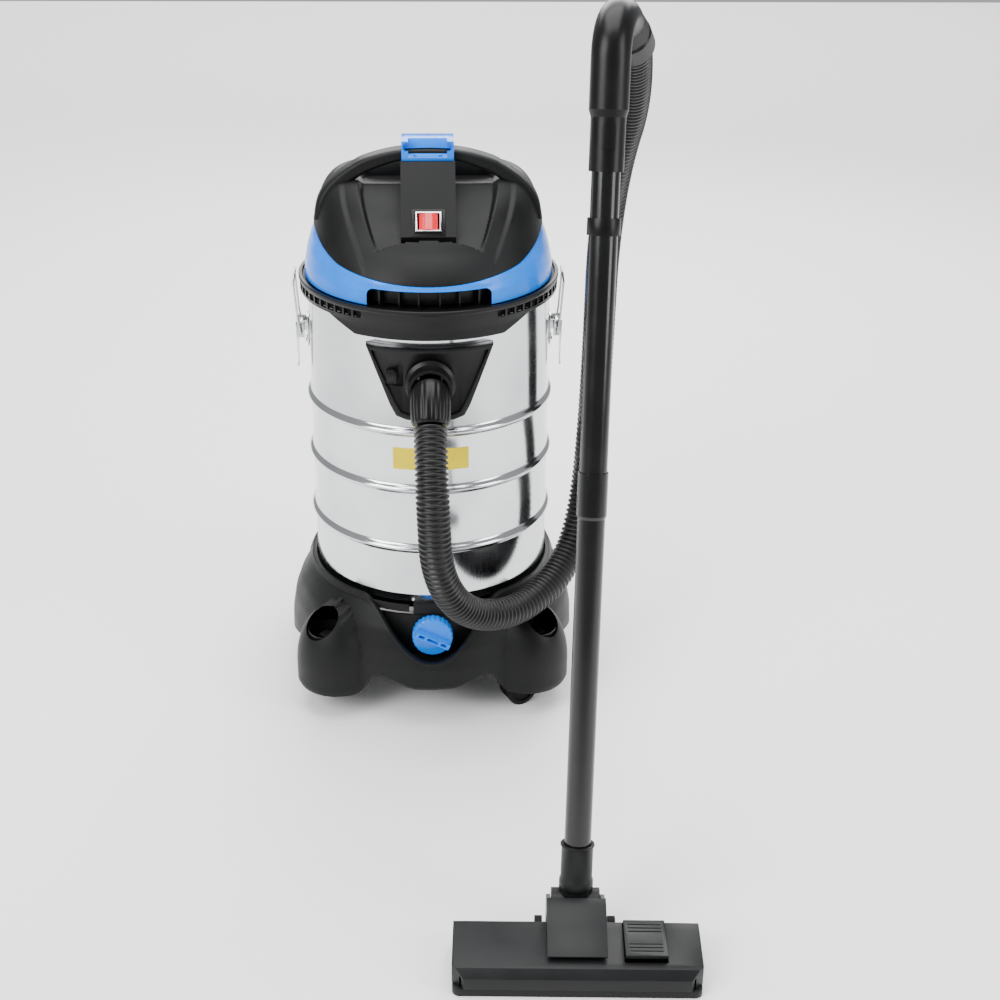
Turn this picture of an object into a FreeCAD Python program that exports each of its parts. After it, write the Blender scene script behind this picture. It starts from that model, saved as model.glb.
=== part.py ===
import FreeCAD, Part
import math
import os
import Sketcher

# Shop vacuum: steel drum on a castered base, lift-off motor head, ribbed hose, two-piece wand and
# floor head. Every length is in millimetres. Pieces are drawn about the drum's axis, with the
# floor at height zero, the machine's front towards -Y and its right side towards +X.

Vector = FreeCAD.Vector
Rotation = FreeCAD.Rotation
Placement = FreeCAD.Placement
doc = FreeCAD.newDocument("shop_vacuum")
sheet = doc.addObject("Spreadsheet::Sheet", "Sizes")

DRIVING_SIZES = {
    # drum
    "drum_radius": 170.0, "drum_wall": 1.2, "drum_bottom": 178.0, "drum_top": 604.0,
    "bead_rise": 6.0, "bead_half": 8.0, "bead_low": 266.0, "bead_mid": 358.0, "bead_high": 444.0,
    "rim_rise": 4.0, "rim_depth": 9.0,
    "label_width": 104.0, "label_height": 32.0, "label_base": 388.0, "label_skin": 0.4,
    # base and casters
    "skirt_radius": 212.0, "skirt_bottom": 58.0, "pod_bottom": 40.0, "pod_reach": 45.0,
    "base_top": 184.0, "base_wall": 4.0,
    "valley_half": 46.0, "valley_floor": 104.0, "valley_depth": 62.0,
    "pod_spread": 140.0, "recess_spread": 150.0, "recess_radius": 24.0, "recess_floor": 84.0,
    "post_radius": 13.0, "post_top": 122.0,
    "wheel_radius": 23.0, "wheel_width": 12.0, "wheel_gap": 8.0, "axle_radius": 3.0,
    "caster_trail": 16.0, "stem_radius": 5.5, "bush_wall": 3.0,
    # drain
    "drain_height": 134.0, "drain_front": 172.0, "drain_bore": 16.0, "drain_wall": 4.0,
    "drain_hole": 14.0, "cap_radius": 29.0, "cap_depth": 15.0, "cap_grip": 11.0,
    # inlet
    "inlet_height": 520.0, "inlet_top": 569.0, "inlet_bottom": 468.0, "inlet_half": 85.0,
    "inlet_foot": 44.0, "inlet_proud": 13.0, "socket_radius": 29.0, "socket_bore": 25.5,
    "socket_front": 208.0,
    # latches
    "latch_height": 545.0, "lever_length": 66.0, "lever_width": 30.0, "bail_drop": 13.0,
    "bail_top": 619.0, "bail_wire": 1.5, "bail_half": 17.0, "latch_stand": 11.0,
    # head
    "band_radius": 180.0, "band_bottom": 600.0, "band_top": 621.0, "apron_bottom": 580.0,
    "apron_half": 100.0, "band_wall": 3.0, "shell_wall": 3.0, "panel_half": 112.0,
    "console_half": 36.5, "arch_width": 34.0, "arch_thick": 16.0, "arch_y": -20.0,
    "arch_top": 800.0, "switch_width": 45.0, "switch_height": 38.0, "rocker_width": 29.0,
    "rocker_height": 23.0, "bracket_half": 35.0,
    # motor, fan and filter
    "motor_radius": 62.0, "motor_height": 80.0, "shaft_radius": 6.0, "fan_radius": 66.0,
    "fan_can_radius": 76.0, "fan_can_height": 34.0, "cage_radius": 74.0, "cage_length": 150.0,
    "cage_wall": 2.5, "sleeve_wall": 7.0, "float_radius": 38.0, "float_height": 46.0,
    "port_radius": 26.0, "port_bore": 19.0, "port_length": 34.0,
    # wand
    "pivot_x": 166.7, "pivot_y": -668.6, "pivot_height": 45.0, "wand_yaw": -2.7,
    "wand_lean": 13.9, "wand_side": 1.2, "tube_radius": 16.0, "tube_wall": 1.0,
    "lower_start": 40.0, "joint_at": 529.0, "joint_overlap": 46.0, "grip_start": 864.0,
    "grip_overlap": 40.0, "grip_radius": 19.5, "grip_bend_at": 985.0, "grip_bend": 45.0,
    "grip_turn": 114.0, "grip_end": 22.0, "grip_wall": 2.5, "grip_yaw": -16.0,
    "clip_at": 795.0, "clip_height": 19.0, "bleed_at": 888.0, "bleed_length": 26.0,
    # floor head
    "sole_width": 291.0, "sole_front": 112.0, "sole_back": 8.0, "shell_height": 42.0,
    "sole_thick": 10.0, "neck_radius": 20.5, "neck_start": 20.0, "neck_end": 78.0,
    "knuckle_half": 35.0, "roller_radius": 11.0, "roller_width": 9.0,
    "pedal_x": 80.0, "pedal_half": 24.5, "pedal_front": 92.0, "pedal_back": 30.0,
    # hose
    "hose_radius": 22.5, "cuff_wall": 3.5, "cuff_length": 34.0,
    # clearances
    "running_fit": 0.3, "seat_gap": 0.1,
}


class Size:
    """A length that knows its value now and the expression that keeps a property bound to it."""

    def __init__(self, value, text):
        self.value = float(value)
        self.text = text

    def __float__(self):
        return self.value

    def combined(self, sign, other, value):
        other_text = other.text if isinstance(other, Size) else repr(float(other))
        return Size(value, f"({self.text} {sign} {other_text})")

    def __add__(self, other):
        return self.combined("+", other, self.value + float(other))

    def __radd__(self, other):
        return self + other

    def __sub__(self, other):
        return self.combined("-", other, self.value - float(other))

    def __rsub__(self, other):
        return -self + other

    def __mul__(self, other):
        return self.combined("*", other, self.value * float(other))

    def __rmul__(self, other):
        return self * other

    def __truediv__(self, other):
        return self.combined("/", other, self.value / float(other))

    def __neg__(self):
        return Size(-self.value, f"(0 - {self.text})")


class Named:
    """The sheet's sizes, one attribute for each alias."""


dim = Named()
for row, (alias, number) in enumerate(DRIVING_SIZES.items(), 1):
    sheet.set(f"A{row}", alias)
    sheet.set(f"B{row}", str(number))
    sheet.setAlias(f"B{row}", alias)
    setattr(dim, alias, Size(number, f"Sizes.{alias}"))
doc.recompute()

SIDES = {"left": -1, "right": 1}
CORNERS = {
    # corner: x side, y side, heading of the trailing wheel in degrees
    "front_left": (-1, -1, 90.0),
    "front_right": (1, -1, 205.0),
    "rear_left": (-1, 1, 70.0),
    "rear_right": (1, 1, 110.0),
}
pieces = []
UP = Vector(0, 0, 1)
ALONG_X = Vector(1, 0, 0)
ALONG_Y = Vector(0, 1, 0)
ORIGIN = Vector(0, 0, 0)


# ---- building blocks -------------------------------------------------------------------------

def bind(thing, **sizes):
    """Set each named property and bind it to its size's expression."""
    for name, size in sizes.items():
        setattr(thing, name, float(size))
        if isinstance(size, Size):
            thing.setExpression(name, size.text)


def finished(thing, label):
    """Label a document object as a sub-part of the machine."""
    thing.Label = label
    pieces.append(thing)
    return thing


def body_plane(body, role):
    return next(f for f in body.Origin.OriginFeatures if f.Role == role)


def outline(body, name, role, corners, lift=0.0):
    """A closed straight-sided sketch whose corners are bound to sizes."""
    sketch = body.newObject("Sketcher::SketchObject", name)
    sketch.AttachmentSupport = (body_plane(body, role), [""])
    sketch.MapMode = "FlatFace"
    sketch.AttachmentOffset = Placement(Vector(0, 0, float(lift)), Rotation())
    if isinstance(lift, Size):
        sketch.setExpression(".AttachmentOffset.Base.z", lift.text)
    spots = [Vector(float(x), float(y), 0) for x, y in corners]
    count = len(spots)
    for index in range(count):
        sketch.addGeometry(Part.LineSegment(spots[index], spots[(index + 1) % count]), False)
    for index in range(count):
        sketch.addConstraint(Sketcher.Constraint("Coincident", index, 2, (index + 1) % count, 1))
    for index, corner in enumerate(corners):
        for kind, size in zip(("DistanceX", "DistanceY"), corner):
            number = sketch.addConstraint(Sketcher.Constraint(kind, -1, 1, index, 1, float(size)))
            if isinstance(size, Size):
                sketch.setExpression(f"Constraints[{number}]", size.text)
    return sketch


def turned(label, corners):
    """A body turned about the upright axis from (radius, height) corners."""
    body = doc.addObject("PartDesign::Body", label + "_body")
    sketch = outline(body, label + "_profile", "XZ_Plane", corners)
    solid = body.newObject("PartDesign::Revolution", label + "_turning")
    solid.Profile = sketch
    solid.ReferenceAxis = (sketch, ["V_Axis"])
    solid.Angle = 360.0
    return body


def box(name, low, high):
    """A Part box between two corners given as sizes."""
    block = doc.addObject("Part::Box", name)
    bind(block, Length=high[0] - low[0], Width=high[1] - low[1], Height=high[2] - low[2])
    put(block, low)
    return block


def rod(name, spot, radius, length, direction=UP, turn=None):
    """A Part cylinder from a spot along a direction."""
    bar = doc.addObject("Part::Cylinder", name)
    bind(bar, Radius=radius, Height=length)
    put(bar, spot, turn or Rotation(UP, direction))
    return bar


def put(thing, spot, rotation=None):
    """Place an object, its three coordinates bound where they are sizes."""
    base = Vector(*(float(value) for value in spot))
    thing.Placement = Placement(base, rotation or Rotation())
    for axis, value in zip("xyz", spot):
        if isinstance(value, Size):
            thing.setExpression(f".Placement.Base.{axis}", value.text)


def fused(name, *parts):
    joined = doc.addObject("Part::MultiFuse", name)
    joined.Shapes = list(parts)
    joined.Refine = True
    return joined


def trimmed(name, base, *tools):
    """The base with every tool cut away."""
    result = doc.addObject("Part::Cut", name)
    result.Base = base
    result.Tool = tools[0] if len(tools) == 1 else fused(name + "_tools", *tools)
    result.Refine = True
    return result


def feature(name, shape):
    """A document object that holds a shape worked out in code."""
    thing = doc.addObject("Part::Feature", name)
    thing.Shape = shape
    return thing


def ring(name, inner, outer, low, high):
    """A plain turned ring."""
    return turned(name, [(inner, low), (outer, low), (outer, high), (inner, high)])


def closed_curve(points):
    curve = Part.BSplineCurve()
    curve.interpolate(points, PeriodicFlag=True)
    return Part.Wire(curve.toShape())


def lofted(wires):
    return Part.makeLoft(wires, True, False)


def prism_x(corners, half_width):
    """A solid of (y, z) corners, reaching half_width each side of the middle plane."""
    spots = [Vector(-float(half_width), float(y), float(z)) for y, z in corners]
    face = Part.Face(Part.makePolygon(spots + spots[:1]))
    return face.extrude(ALONG_X * 2 * float(half_width))


def prism_y(corners, start, stop):
    """A solid of (x, z) corners between two y values."""
    spots = [Vector(float(x), float(start), float(z)) for x, z in corners]
    face = Part.Face(Part.makePolygon(spots + spots[:1]))
    return face.extrude(ALONG_Y * (float(stop) - float(start)))


# ---- drum ------------------------------------------------------------------------------------

def drum_profile():
    """Outer and inner corners of the can, with three rolled beads and a rolled rim."""
    outer = [(dim.drum_radius, dim.drum_bottom)]
    for middle in (dim.bead_low, dim.bead_mid, dim.bead_high):
        outer += [
            (dim.drum_radius, middle - dim.bead_half),
            (dim.drum_radius + dim.bead_rise, middle - dim.bead_half / 3),
            (dim.drum_radius + dim.bead_rise, middle + dim.bead_half / 3),
            (dim.drum_radius, middle + dim.bead_half),
        ]
    outer += [
        (dim.drum_radius, dim.drum_top - dim.rim_depth),
        (dim.drum_radius + dim.rim_rise, dim.drum_top - dim.rim_depth),
        (dim.drum_radius + dim.rim_rise, dim.drum_top),
    ]
    inner = [(radius - dim.drum_wall, height) for radius, height in outer[1:-3]]
    inner += [(dim.drum_radius - dim.drum_wall, dim.drum_top)]
    floor = dim.drum_bottom + dim.drum_wall
    return [(0.0, dim.drum_bottom)] + outer + inner[::-1] + [
        (dim.drum_radius - dim.drum_wall, floor), (0.0, floor)]


drain_y = -(dim.drain_front - 48.0)
drain_half = 27.0
drain_foot = 30.0
socket_hole = dim.socket_bore + 3.0

drum_can = turned("drum_can", drum_profile())
inlet_hole = rod("inlet_hole", (0.0, -(dim.drum_radius - 40.0), dim.inlet_height),
                 socket_hole + dim.running_fit, 80.0, -ALONG_Y)
drain_opening = rod("drain_opening", (0.0, drain_y, dim.drum_bottom - 5.0), dim.drain_hole, 10.0)
finished(trimmed("drum", drum_can, inlet_hole, drain_opening), "drum")

label_outer = rod("label_outer", (0.0, 0.0, dim.label_base), dim.drum_radius + dim.label_skin,
                  dim.label_height)
label_inner = rod("label_inner", (0.0, 0.0, dim.label_base - 1.0), dim.drum_radius,
                  dim.label_height + 2.0)
label_ring = trimmed("label_ring", label_outer, label_inner)
label_window = box("label_window", (-dim.label_width / 2, -(dim.drum_radius + 10.0), dim.label_base),
                   (dim.label_width / 2, 0.0, dim.label_base + dim.label_height))
drum_label = doc.addObject("Part::Common", "drum_label")
drum_label.Base = label_ring
drum_label.Tool = label_window
finished(drum_label, "drum_label")


# ---- base ------------------------------------------------------------------------------------

SKIRT_SLOPE = [
    # share of the height above the pods' bottom edge, skirt radius lost, share of the pods' reach
    (0.0, 3.0, 0.96), (0.12, 0.0, 1.0), (0.32, 2.0, 0.96), (0.48, 8.0, 0.85), (0.62, 15.0, 0.68),
    (0.76, 21.0, 0.44), (0.89, 26.5, 0.18), (1.0, 34.5, 0.02),
]
POD_SPREAD_DEG = 11.0


def base_section(share, loss, reach, inset):
    """The moulding's outline at one height: a round skirt with a bump at each diagonal."""
    height = float(dim.pod_bottom) + share * (float(dim.base_top) - float(dim.pod_bottom))
    points = []
    for step in range(72):
        angle = math.radians(step * 5.0)
        off = (math.degrees(angle) - 45.0) % 90.0
        off = min(off, 90.0 - off)
        bump = math.exp(-abs(off / POD_SPREAD_DEG) ** 2.4 / 2)
        radius = float(dim.skirt_radius) - loss + reach * float(dim.pod_reach) * bump - inset
        points.append(Vector(radius * math.cos(angle), radius * math.sin(angle), height))
    return closed_curve(points)


def valley(grown):
    """The U-shaped opening in the front of the skirt, for the drain cap."""
    half = float(dim.valley_half) + grown
    foot = float(dim.valley_floor) - grown
    top = float(dim.base_top) + 2.0
    side = [(0.0, foot), (0.55 * half, foot + 4.0), (half, foot + 20.0), (1.3 * half, foot + 46.0),
            (1.75 * half, top)]
    corners = [(-x, z) for x, z in side[:0:-1]] + side
    back = -(float(dim.skirt_radius) - float(dim.valley_depth) - grown)
    return prism_y(corners, -2 * float(dim.skirt_radius), back)


def upright(x, y, radius, low, high):
    return Part.makeCylinder(float(radius), float(high) - float(low),
                             Vector(float(x), float(y), float(low)))


wall = float(dim.base_wall)
shell = lofted([base_section(*row, 0.0) for row in SKIRT_SLOPE])
cavity = lofted([base_section(*row, 1.25 * wall) for row in SKIRT_SLOPE])
cavity.translate(Vector(0, 0, -wall))
seat_height = float(dim.drum_bottom - dim.seat_gap)
cavity = cavity.common(upright(0, 0, 400, 0, seat_height - wall))
drain_slot = Part.makeBox(62.0, 60.0, 90.0, Vector(-31.0, -152.0, float(dim.drain_height) - 34.0))
slot_wall = Part.makeBox(70.0, 64.0, 90.0, Vector(-35.0, -152.0, float(dim.drain_height) - 38.0))
cavity = cavity.cut(valley(wall)).cut(slot_wall)
recess_spots = []
stem_spots = {}
for corner, (side_x, side_y, heading) in CORNERS.items():
    recess_spots.append((side_x * dim.recess_spread, side_y * dim.recess_spread))
    stem_spots[corner] = (side_x * dim.pod_spread, side_y * dim.pod_spread)
stem_top = 2 * dim.wheel_radius + 34.0
bush_radius = dim.stem_radius + dim.bush_wall
for x, y in recess_spots:
    cavity = cavity.cut(upright(x, y, dim.recess_radius + wall, dim.recess_floor - wall, 400.0))
for x, y in stem_spots.values():
    cavity = cavity.cut(upright(x, y, bush_radius + 4.0, 2 * dim.wheel_radius + 8.0, 400.0))

drain_bay = Part.makeBox(2 * drain_half + 2 * float(dim.running_fit), 90.0, 90.0,
                         Vector(-drain_half - float(dim.running_fit),
                                -float(dim.drain_front) - float(dim.running_fit),
                                float(dim.drain_height) - drain_foot - float(dim.running_fit)))
base_shape = shell.cut(cavity).cut(valley(0.0)).cut(drain_slot).cut(drain_bay)
base_shape = base_shape.cut(upright(0, 0, dim.drum_radius + dim.running_fit + 4.0, seat_height, 400.0))
low_band = upright(0, 0, 400.0, 0.0, dim.skirt_bottom)
for x, y in stem_spots.values():
    low_band = low_band.cut(upright(1.08 * float(x), 1.08 * float(y), 68.0, 0.0, 100.0))
base_shape = base_shape.cut(low_band)
for x, y in recess_spots:
    base_shape = base_shape.cut(upright(x, y, dim.recess_radius, dim.recess_floor, 400.0))
    post = upright(x, y, dim.post_radius, dim.recess_floor - 1.0, dim.post_top)
    slant = Vector(-math.copysign(1, float(x)), -math.copysign(1, float(y)), -1.4)
    wedge = Part.makeBox(80.0, 80.0, 40.0, Vector(-40.0, -40.0, 0.0))
    wedge.Placement = Placement(
        Vector(float(x), float(y), float(dim.post_top) - 8.0),
        Rotation(UP, -slant)).multiply(Placement(Vector(-40, -40, 0),
                                                                Rotation()))
    base_shape = base_shape.fuse(post.cut(wedge))
for x, y in stem_spots.values():
    base_shape = base_shape.cut(upright(x, y, bush_radius, 0.0, stem_top))
finished(feature("base", base_shape), "base")

bushes = [upright(x, y, bush_radius - dim.seat_gap, 2 * dim.wheel_radius + 9.0, stem_top - 0.2).cut(
    upright(x, y, dim.stem_radius + 0.05, 0.0, stem_top - 4.0)) for x, y in stem_spots.values()]
finished(feature("caster_bushes", Part.makeCompound(bushes)), "caster_bushes")


# ---- casters ---------------------------------------------------------------------------------

def caster(corner, heading):
    """One twin-wheel caster: a hooded fork on its stem and a pair of wheels on their axle."""
    x, y = stem_spots[corner]
    turn = Rotation(UP, heading)
    gap_half = float(dim.wheel_gap) / 2
    reach = float(dim.caster_trail)
    radius = float(dim.wheel_radius)
    # local frame: stem on the z axis, wheels trailing towards +x, axle along y
    axle_spot = Vector(reach, 0, radius)
    web = Part.makeCylinder(radius - 4.0, 2 * gap_half - 1.0,
                            Vector(reach, -gap_half + 0.5, radius), ALONG_Y)
    hood = Part.makeCylinder(radius + 4.0, 2 * (gap_half + float(dim.wheel_width)) + 1.0,
                             Vector(reach, -gap_half - float(dim.wheel_width) - 0.5, radius),
                             ALONG_Y)
    hollow = Part.makeCylinder(radius + 1.2, 80.0, Vector(reach, -40.0, radius), ALONG_Y)
    upper = Part.makeBox(80.0, 80.0, 60.0, Vector(reach - 40.0, -40.0, 1.25 * radius))
    hood = hood.cut(hollow).common(upper)
    stalk = Part.makeBox(2 * reach + 4.0, 2 * gap_half - 1.0, 1.0 * radius + 4.0,
                         Vector(-reach / 2, -gap_half + 0.5, radius))
    fork = web.fuse(hood).fuse(stalk.common(upright(0, 0, reach + 10.0, 0, 2 * radius + 5.0)))
    hub = upright(0, 0, float(dim.stem_radius) + 5.0, 2 * radius + 1.0, 2 * radius + 8.0)
    fork = fork.fuse(hub.fuse(upright(0, 0, dim.stem_radius, 2 * radius, stem_top - 4.5)))
    fork = fork.cut(Part.makeCylinder(float(dim.axle_radius) + 0.05, 80.0,
                                      axle_spot - ALONG_Y * 40, ALONG_Y))
    wheels = Part.makeCylinder(float(dim.axle_radius), 2 * (gap_half + 6.0),
                               axle_spot - ALONG_Y * (gap_half + 6.0), ALONG_Y)
    for side in (-1, 1):
        start = gap_half if side > 0 else -gap_half - float(dim.wheel_width)
        disc = Part.makeCylinder(radius, float(dim.wheel_width),
                                 Vector(reach, start, radius), ALONG_Y)
        disc = disc.makeFillet(2.0, [edge for edge in disc.Edges if edge.Closed])
        dish_y = start + (float(dim.wheel_width) - 2.5 if side > 0 else 0.0)
        dish = Part.makeCylinder(0.72 * radius, 2.5, Vector(reach, dish_y, radius), ALONG_Y)
        hub_disc = Part.makeCylinder(6.0, 2.5, Vector(reach, dish_y, radius), ALONG_Y)
        wheels = wheels.fuse(disc.cut(dish)).fuse(hub_disc)
    finished(feature("caster_fork_" + corner, fork), "caster_fork_" + corner)
    finished(feature("caster_wheels_" + corner, wheels.removeSplitter()), "caster_wheels_" + corner)
    return {"caster_fork_" + corner: ((x, y, 0.0), turn), "caster_wheels_" + corner: ((x, y, 0.0), turn)}


placed = {}
for corner, (side_x, side_y, heading) in CORNERS.items():
    placed.update(caster(corner, heading))


# ---- drain -----------------------------------------------------------------------------------

drain_back = dim.drain_front - 70.0
drain_top = dim.drum_bottom - dim.seat_gap
drain_block = box("drain_block", (-drain_half, -dim.drain_front, dim.drain_height - drain_foot),
                  (drain_half, -drain_back, drain_top))
drain_neck = rod("drain_neck", (0.0, -dim.drain_front, dim.drain_height), dim.drain_bore + dim.drain_wall,
                 14.0, -ALONG_Y)
drain_way = rod("drain_way", (0.0, -(drain_back + 12.0), dim.drain_height), dim.drain_bore, 90.0, -ALONG_Y)
drain_down = rod("drain_down", (0.0, drain_y, dim.drain_height), dim.drain_hole, 60.0)
finished(trimmed("drain_housing", fused("drain_cast", drain_block, drain_neck), drain_way, drain_down),
         "drain_housing")

# The cap is drawn about the upright axis with its open end down, and placed facing forwards.
cap_bore = dim.drain_bore + dim.drain_wall + dim.running_fit
cap_turning = turned("cap_turning", [
    (0.0, dim.cap_depth - 3.0), (cap_bore, dim.cap_depth - 3.0), (cap_bore, 0.0), (dim.cap_radius, 0.0),
    (dim.cap_radius, dim.cap_depth - 1.5), (dim.cap_radius - 1.5, dim.cap_depth), (0.0, dim.cap_depth)])
flute_count = 24
flutes = []
for step in range(flute_count):
    angle = 2 * math.pi * step / flute_count
    spot = ((dim.cap_radius + 1.2) * math.cos(angle), (dim.cap_radius + 1.2) * math.sin(angle), -1.0)
    flutes.append(rod(f"cap_flute_{step}", spot, 2.4, dim.cap_depth + 2.0))
cap_bar = box("cap_bar", (-(dim.cap_radius - 3.0), -4.5, dim.cap_depth - 1.0),
              (dim.cap_radius - 3.0, 4.5, dim.cap_depth + dim.cap_grip))
bar_slots = [box(f"cap_slot_{name}", (x - half, -2.4, dim.cap_depth + dim.cap_grip - 7.0),
                 (x + half, 2.4, dim.cap_depth + dim.cap_grip + 1.0))
             for name, x, half in (("left", -17.0, 4.5), ("mid", 0.0, 8.5), ("right", 17.0, 4.5))]
finished(trimmed("drain_cap", fused("cap_solid", cap_turning, cap_bar), *flutes, *bar_slots), "drain_cap")
finished(ring("drain_seal", dim.drain_bore - 1.0, dim.drain_bore + dim.drain_wall,
              dim.cap_depth - 5.0, dim.cap_depth - 3.0), "drain_seal")
CAP_TILT = -25.0
cap_start = -(dim.drain_front + 4.0)
cap_turn = Rotation(ALONG_Y, -CAP_TILT).multiply(Rotation(ALONG_X, 90.0))
for label in ("drain_cap", "drain_seal"):
    placed[label] = ((0.0, cap_start, dim.drain_height), cap_turn)


# ---- inlet -----------------------------------------------------------------------------------

plate_face = dim.drum_radius + dim.running_fit + dim.inlet_proud


def inlet_outline(inset):
    """The trapezoid plate's corners, rounded at its foot by a short chamfer."""
    half = float(dim.inlet_half) - inset
    foot = float(dim.inlet_foot) - inset
    top = float(dim.inlet_top) - inset
    low = float(dim.inlet_bottom) + inset
    side = [(foot - 12.0, low), (foot + 2.0, low + 5.0), (foot + 10.0, low + 20.0), (half, top)]
    return side + [(-x, z) for x, z in side[::-1]]


def upright_ring(inner, outer, low, high):
    return upright(0, 0, outer, low, high).cut(upright(0, 0, inner, low, high))


plate_low = float(dim.inlet_bottom) - 5.0
plate_high = float(dim.inlet_top) + 5.0
plate = prism_y(inlet_outline(0.0), -300.0, 0.0).common(
    upright_ring(dim.drum_radius + dim.running_fit, plate_face, plate_low, plate_high))
dish = prism_y(inlet_outline(6.0), -300.0, 0.0).common(
    upright_ring(plate_face - 4.0, plate_face + 5.0, plate_low, plate_high))
catch_x = -48.0
catch_z = dim.inlet_height + 10.0
plate = plate.cut(dish).cut(Part.makeCylinder(float(socket_hole) + float(dim.running_fit), 200.0,
                                              Vector(0, 0, float(dim.inlet_height)), -ALONG_Y))
catch_pocket = Part.makeBox(24.0, 40.0, 30.0, Vector(catch_x - 12.0, -210.0, float(catch_z) - 15.0))
catch_floor = float(plate_face) - 9.5
plate = plate.cut(catch_pocket.cut(upright(0, 0, catch_floor, plate_low, plate_high)))
finished(feature("inlet_plate", plate), "inlet_plate")

socket_start = dim.drum_radius - 20.0
flange_at = plate_face - 4.0 - socket_start
socket_length = dim.socket_front - socket_start
finished(turned("inlet_socket", [
    (dim.socket_bore, 0.0), (socket_hole, 0.0), (socket_hole, flange_at),
    (dim.socket_radius + 5.0, flange_at), (dim.socket_radius + 5.0, flange_at + 5.0),
    (dim.socket_radius + 0.5, flange_at + 8.0), (dim.socket_radius + 0.5, socket_length),
    (dim.socket_bore, socket_length)]), "inlet_socket")
facing_front = Rotation(ALONG_X, 90.0)
placed["inlet_socket"] = ((0.0, -socket_start, dim.inlet_height), facing_front)

catch_y = math.sqrt(catch_floor ** 2 - catch_x ** 2)
catch_body = Part.makeBox(14.0, 7.0, 16.0, Vector(-7.0, -8.0, -8.0))
catch_thumb = Part.makeBox(4.0, 8.0, 16.0, Vector(3.0, -15.0, -8.0))
finished(feature("inlet_catch", catch_body.fuse(catch_thumb).removeSplitter()), "inlet_catch")
placed["inlet_catch"] = ((catch_x - 3.0, -catch_y - 2.0, catch_z), Rotation())


# ---- latches ---------------------------------------------------------------------------------

def wire_loop(spots, radius):
    """A bent wire of straight runs, its corners closed by balls."""
    solid = None
    for start, end in zip(spots, spots[1:]):
        run = Part.makeCylinder(radius, (end - start).Length, start, end - start)
        solid = run if solid is None else solid.fuse(run)
        solid = solid.fuse(Part.makeSphere(radius, end))
    return solid.fuse(Part.makeSphere(radius, spots[0]))


wire = float(dim.bail_wire)
pivot_reach = dim.drum_radius + dim.latch_stand
hook_reach = dim.band_radius + 7.0
lever_half = dim.lever_width / 2
bracket_pieces = []
for side, sign in SIDES.items():
    # local frame: pivot at the origin, +x outwards, y along the pivot
    foot_x = -float(dim.latch_stand) + 0.3
    plate_piece = Part.makeBox(2.0, 26.0, 44.0, Vector(foot_x, -13.0, -34.0))
    ears = [Part.makeBox(float(dim.latch_stand) + 2.7, 1.5, 13.5, Vector(foot_x, y, -10.0))
            for y in (-13.0, 11.5)]
    pin = Part.makeCylinder(2.0, 25.0, Vector(0, -12.5, 0), ALONG_Y)
    rivets = [Part.makeSphere(3.0, Vector(foot_x + 2.0, y, -26.0)) for y in (-7.0, 7.0)]
    bracket = plate_piece.fuse(ears).fuse(pin).fuse(rivets).removeSplitter()
    bracket.Placement = Placement(
        Vector(sign * float(pivot_reach), 0, float(dim.latch_height)),
        Rotation(UP, 0 if sign > 0 else 180))
    keep_out = upright(0, 0, dim.drum_radius + 0.1, 0, 1000)
    bracket_pieces.append(bracket.cut(keep_out))

    lever_spots = [(-float(lever_half), -4.0), (float(lever_half), -4.0), (float(lever_half), -22.0),
                   (5.0, -float(dim.lever_length)), (-5.0, -float(dim.lever_length)),
                   (-float(lever_half), -22.0)]
    face = Part.Face(Part.makePolygon([Vector(5.0, y, z) for y, z in lever_spots + lever_spots[:1]]))
    lever = face.extrude(Vector(1.2, 0, 0))
    arms = [Part.makeBox(12.0, 1.5, 24.0, Vector(-5.0, y, -20.0)) for y in
            (-float(lever_half), float(lever_half) - 1.5)]
    sleeve = Part.makeCylinder(3.2, 22.0, Vector(0, -11.0, 0), ALONG_Y)
    webs = [Part.makeBox(3.0, 3.0, 12.0, Vector(2.0, y, -11.0)) for y in (-10.5, 7.5)]
    lip = Part.makeCylinder(1.5, 10.0, Vector(6.2, -5.0, -float(dim.lever_length)), ALONG_Y)
    lever = lever.fuse(arms).fuse(sleeve).fuse(webs).fuse(lip)
    lever = lever.cut(Part.makeCylinder(2.1, 40.0, Vector(0, -20, 0), ALONG_Y))
    bail_eye = Vector(0, -30, -float(dim.bail_drop))
    lever = lever.cut(Part.makeCylinder(wire + 0.15, 60.0, bail_eye, ALONG_Y))
    lever = lever.removeSplitter()
    finished(feature("latch_lever_" + side, lever), "latch_lever_" + side)

    half = float(dim.bail_half) + wire + 0.4
    rise = float(dim.bail_top) - float(dim.latch_height) + float(dim.bail_drop)
    lean = float(hook_reach - pivot_reach)
    eye = float(lever_half) - 3.0
    near_side = [(0.0, eye, 0.0), (0.0, half, 0.0), (4.0, half, 24.0), (lean + 1.5, half, rise - 12.0),
                 (lean, half - 5.0, rise)]
    bail_route = [(x, -y, z) for x, y, z in near_side] + near_side[::-1]
    bail = wire_loop([Vector(*spot) for spot in bail_route], wire)
    finished(feature("latch_bail_" + side, bail), "latch_bail_" + side)
    facing = Rotation(UP, 0 if sign > 0 else 180)
    placed["latch_lever_" + side] = ((sign * pivot_reach, 0.0, dim.latch_height), facing)
    placed["latch_bail_" + side] = ((sign * pivot_reach, 0.0, dim.latch_height - dim.bail_drop), facing)
finished(feature("latch_brackets", Part.makeCompound(bracket_pieces)), "latch_brackets")


# ---- head shells -----------------------------------------------------------------------------

DOME = [
    # height, half width, reach to the front, reach to the rear
    (621.5, 173.0, 173.0, 173.0), (640.0, 171.0, 170.5, 171.0), (660.0, 166.5, 163.0, 166.0),
    (680.0, 160.0, 150.0, 158.0), (698.0, 152.5, 133.0, 148.0), (720.0, 141.0, 112.0, 133.0),
    (738.0, 127.0, 88.0, 116.0), (752.0, 110.0, 62.0, 94.0),
]


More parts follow.
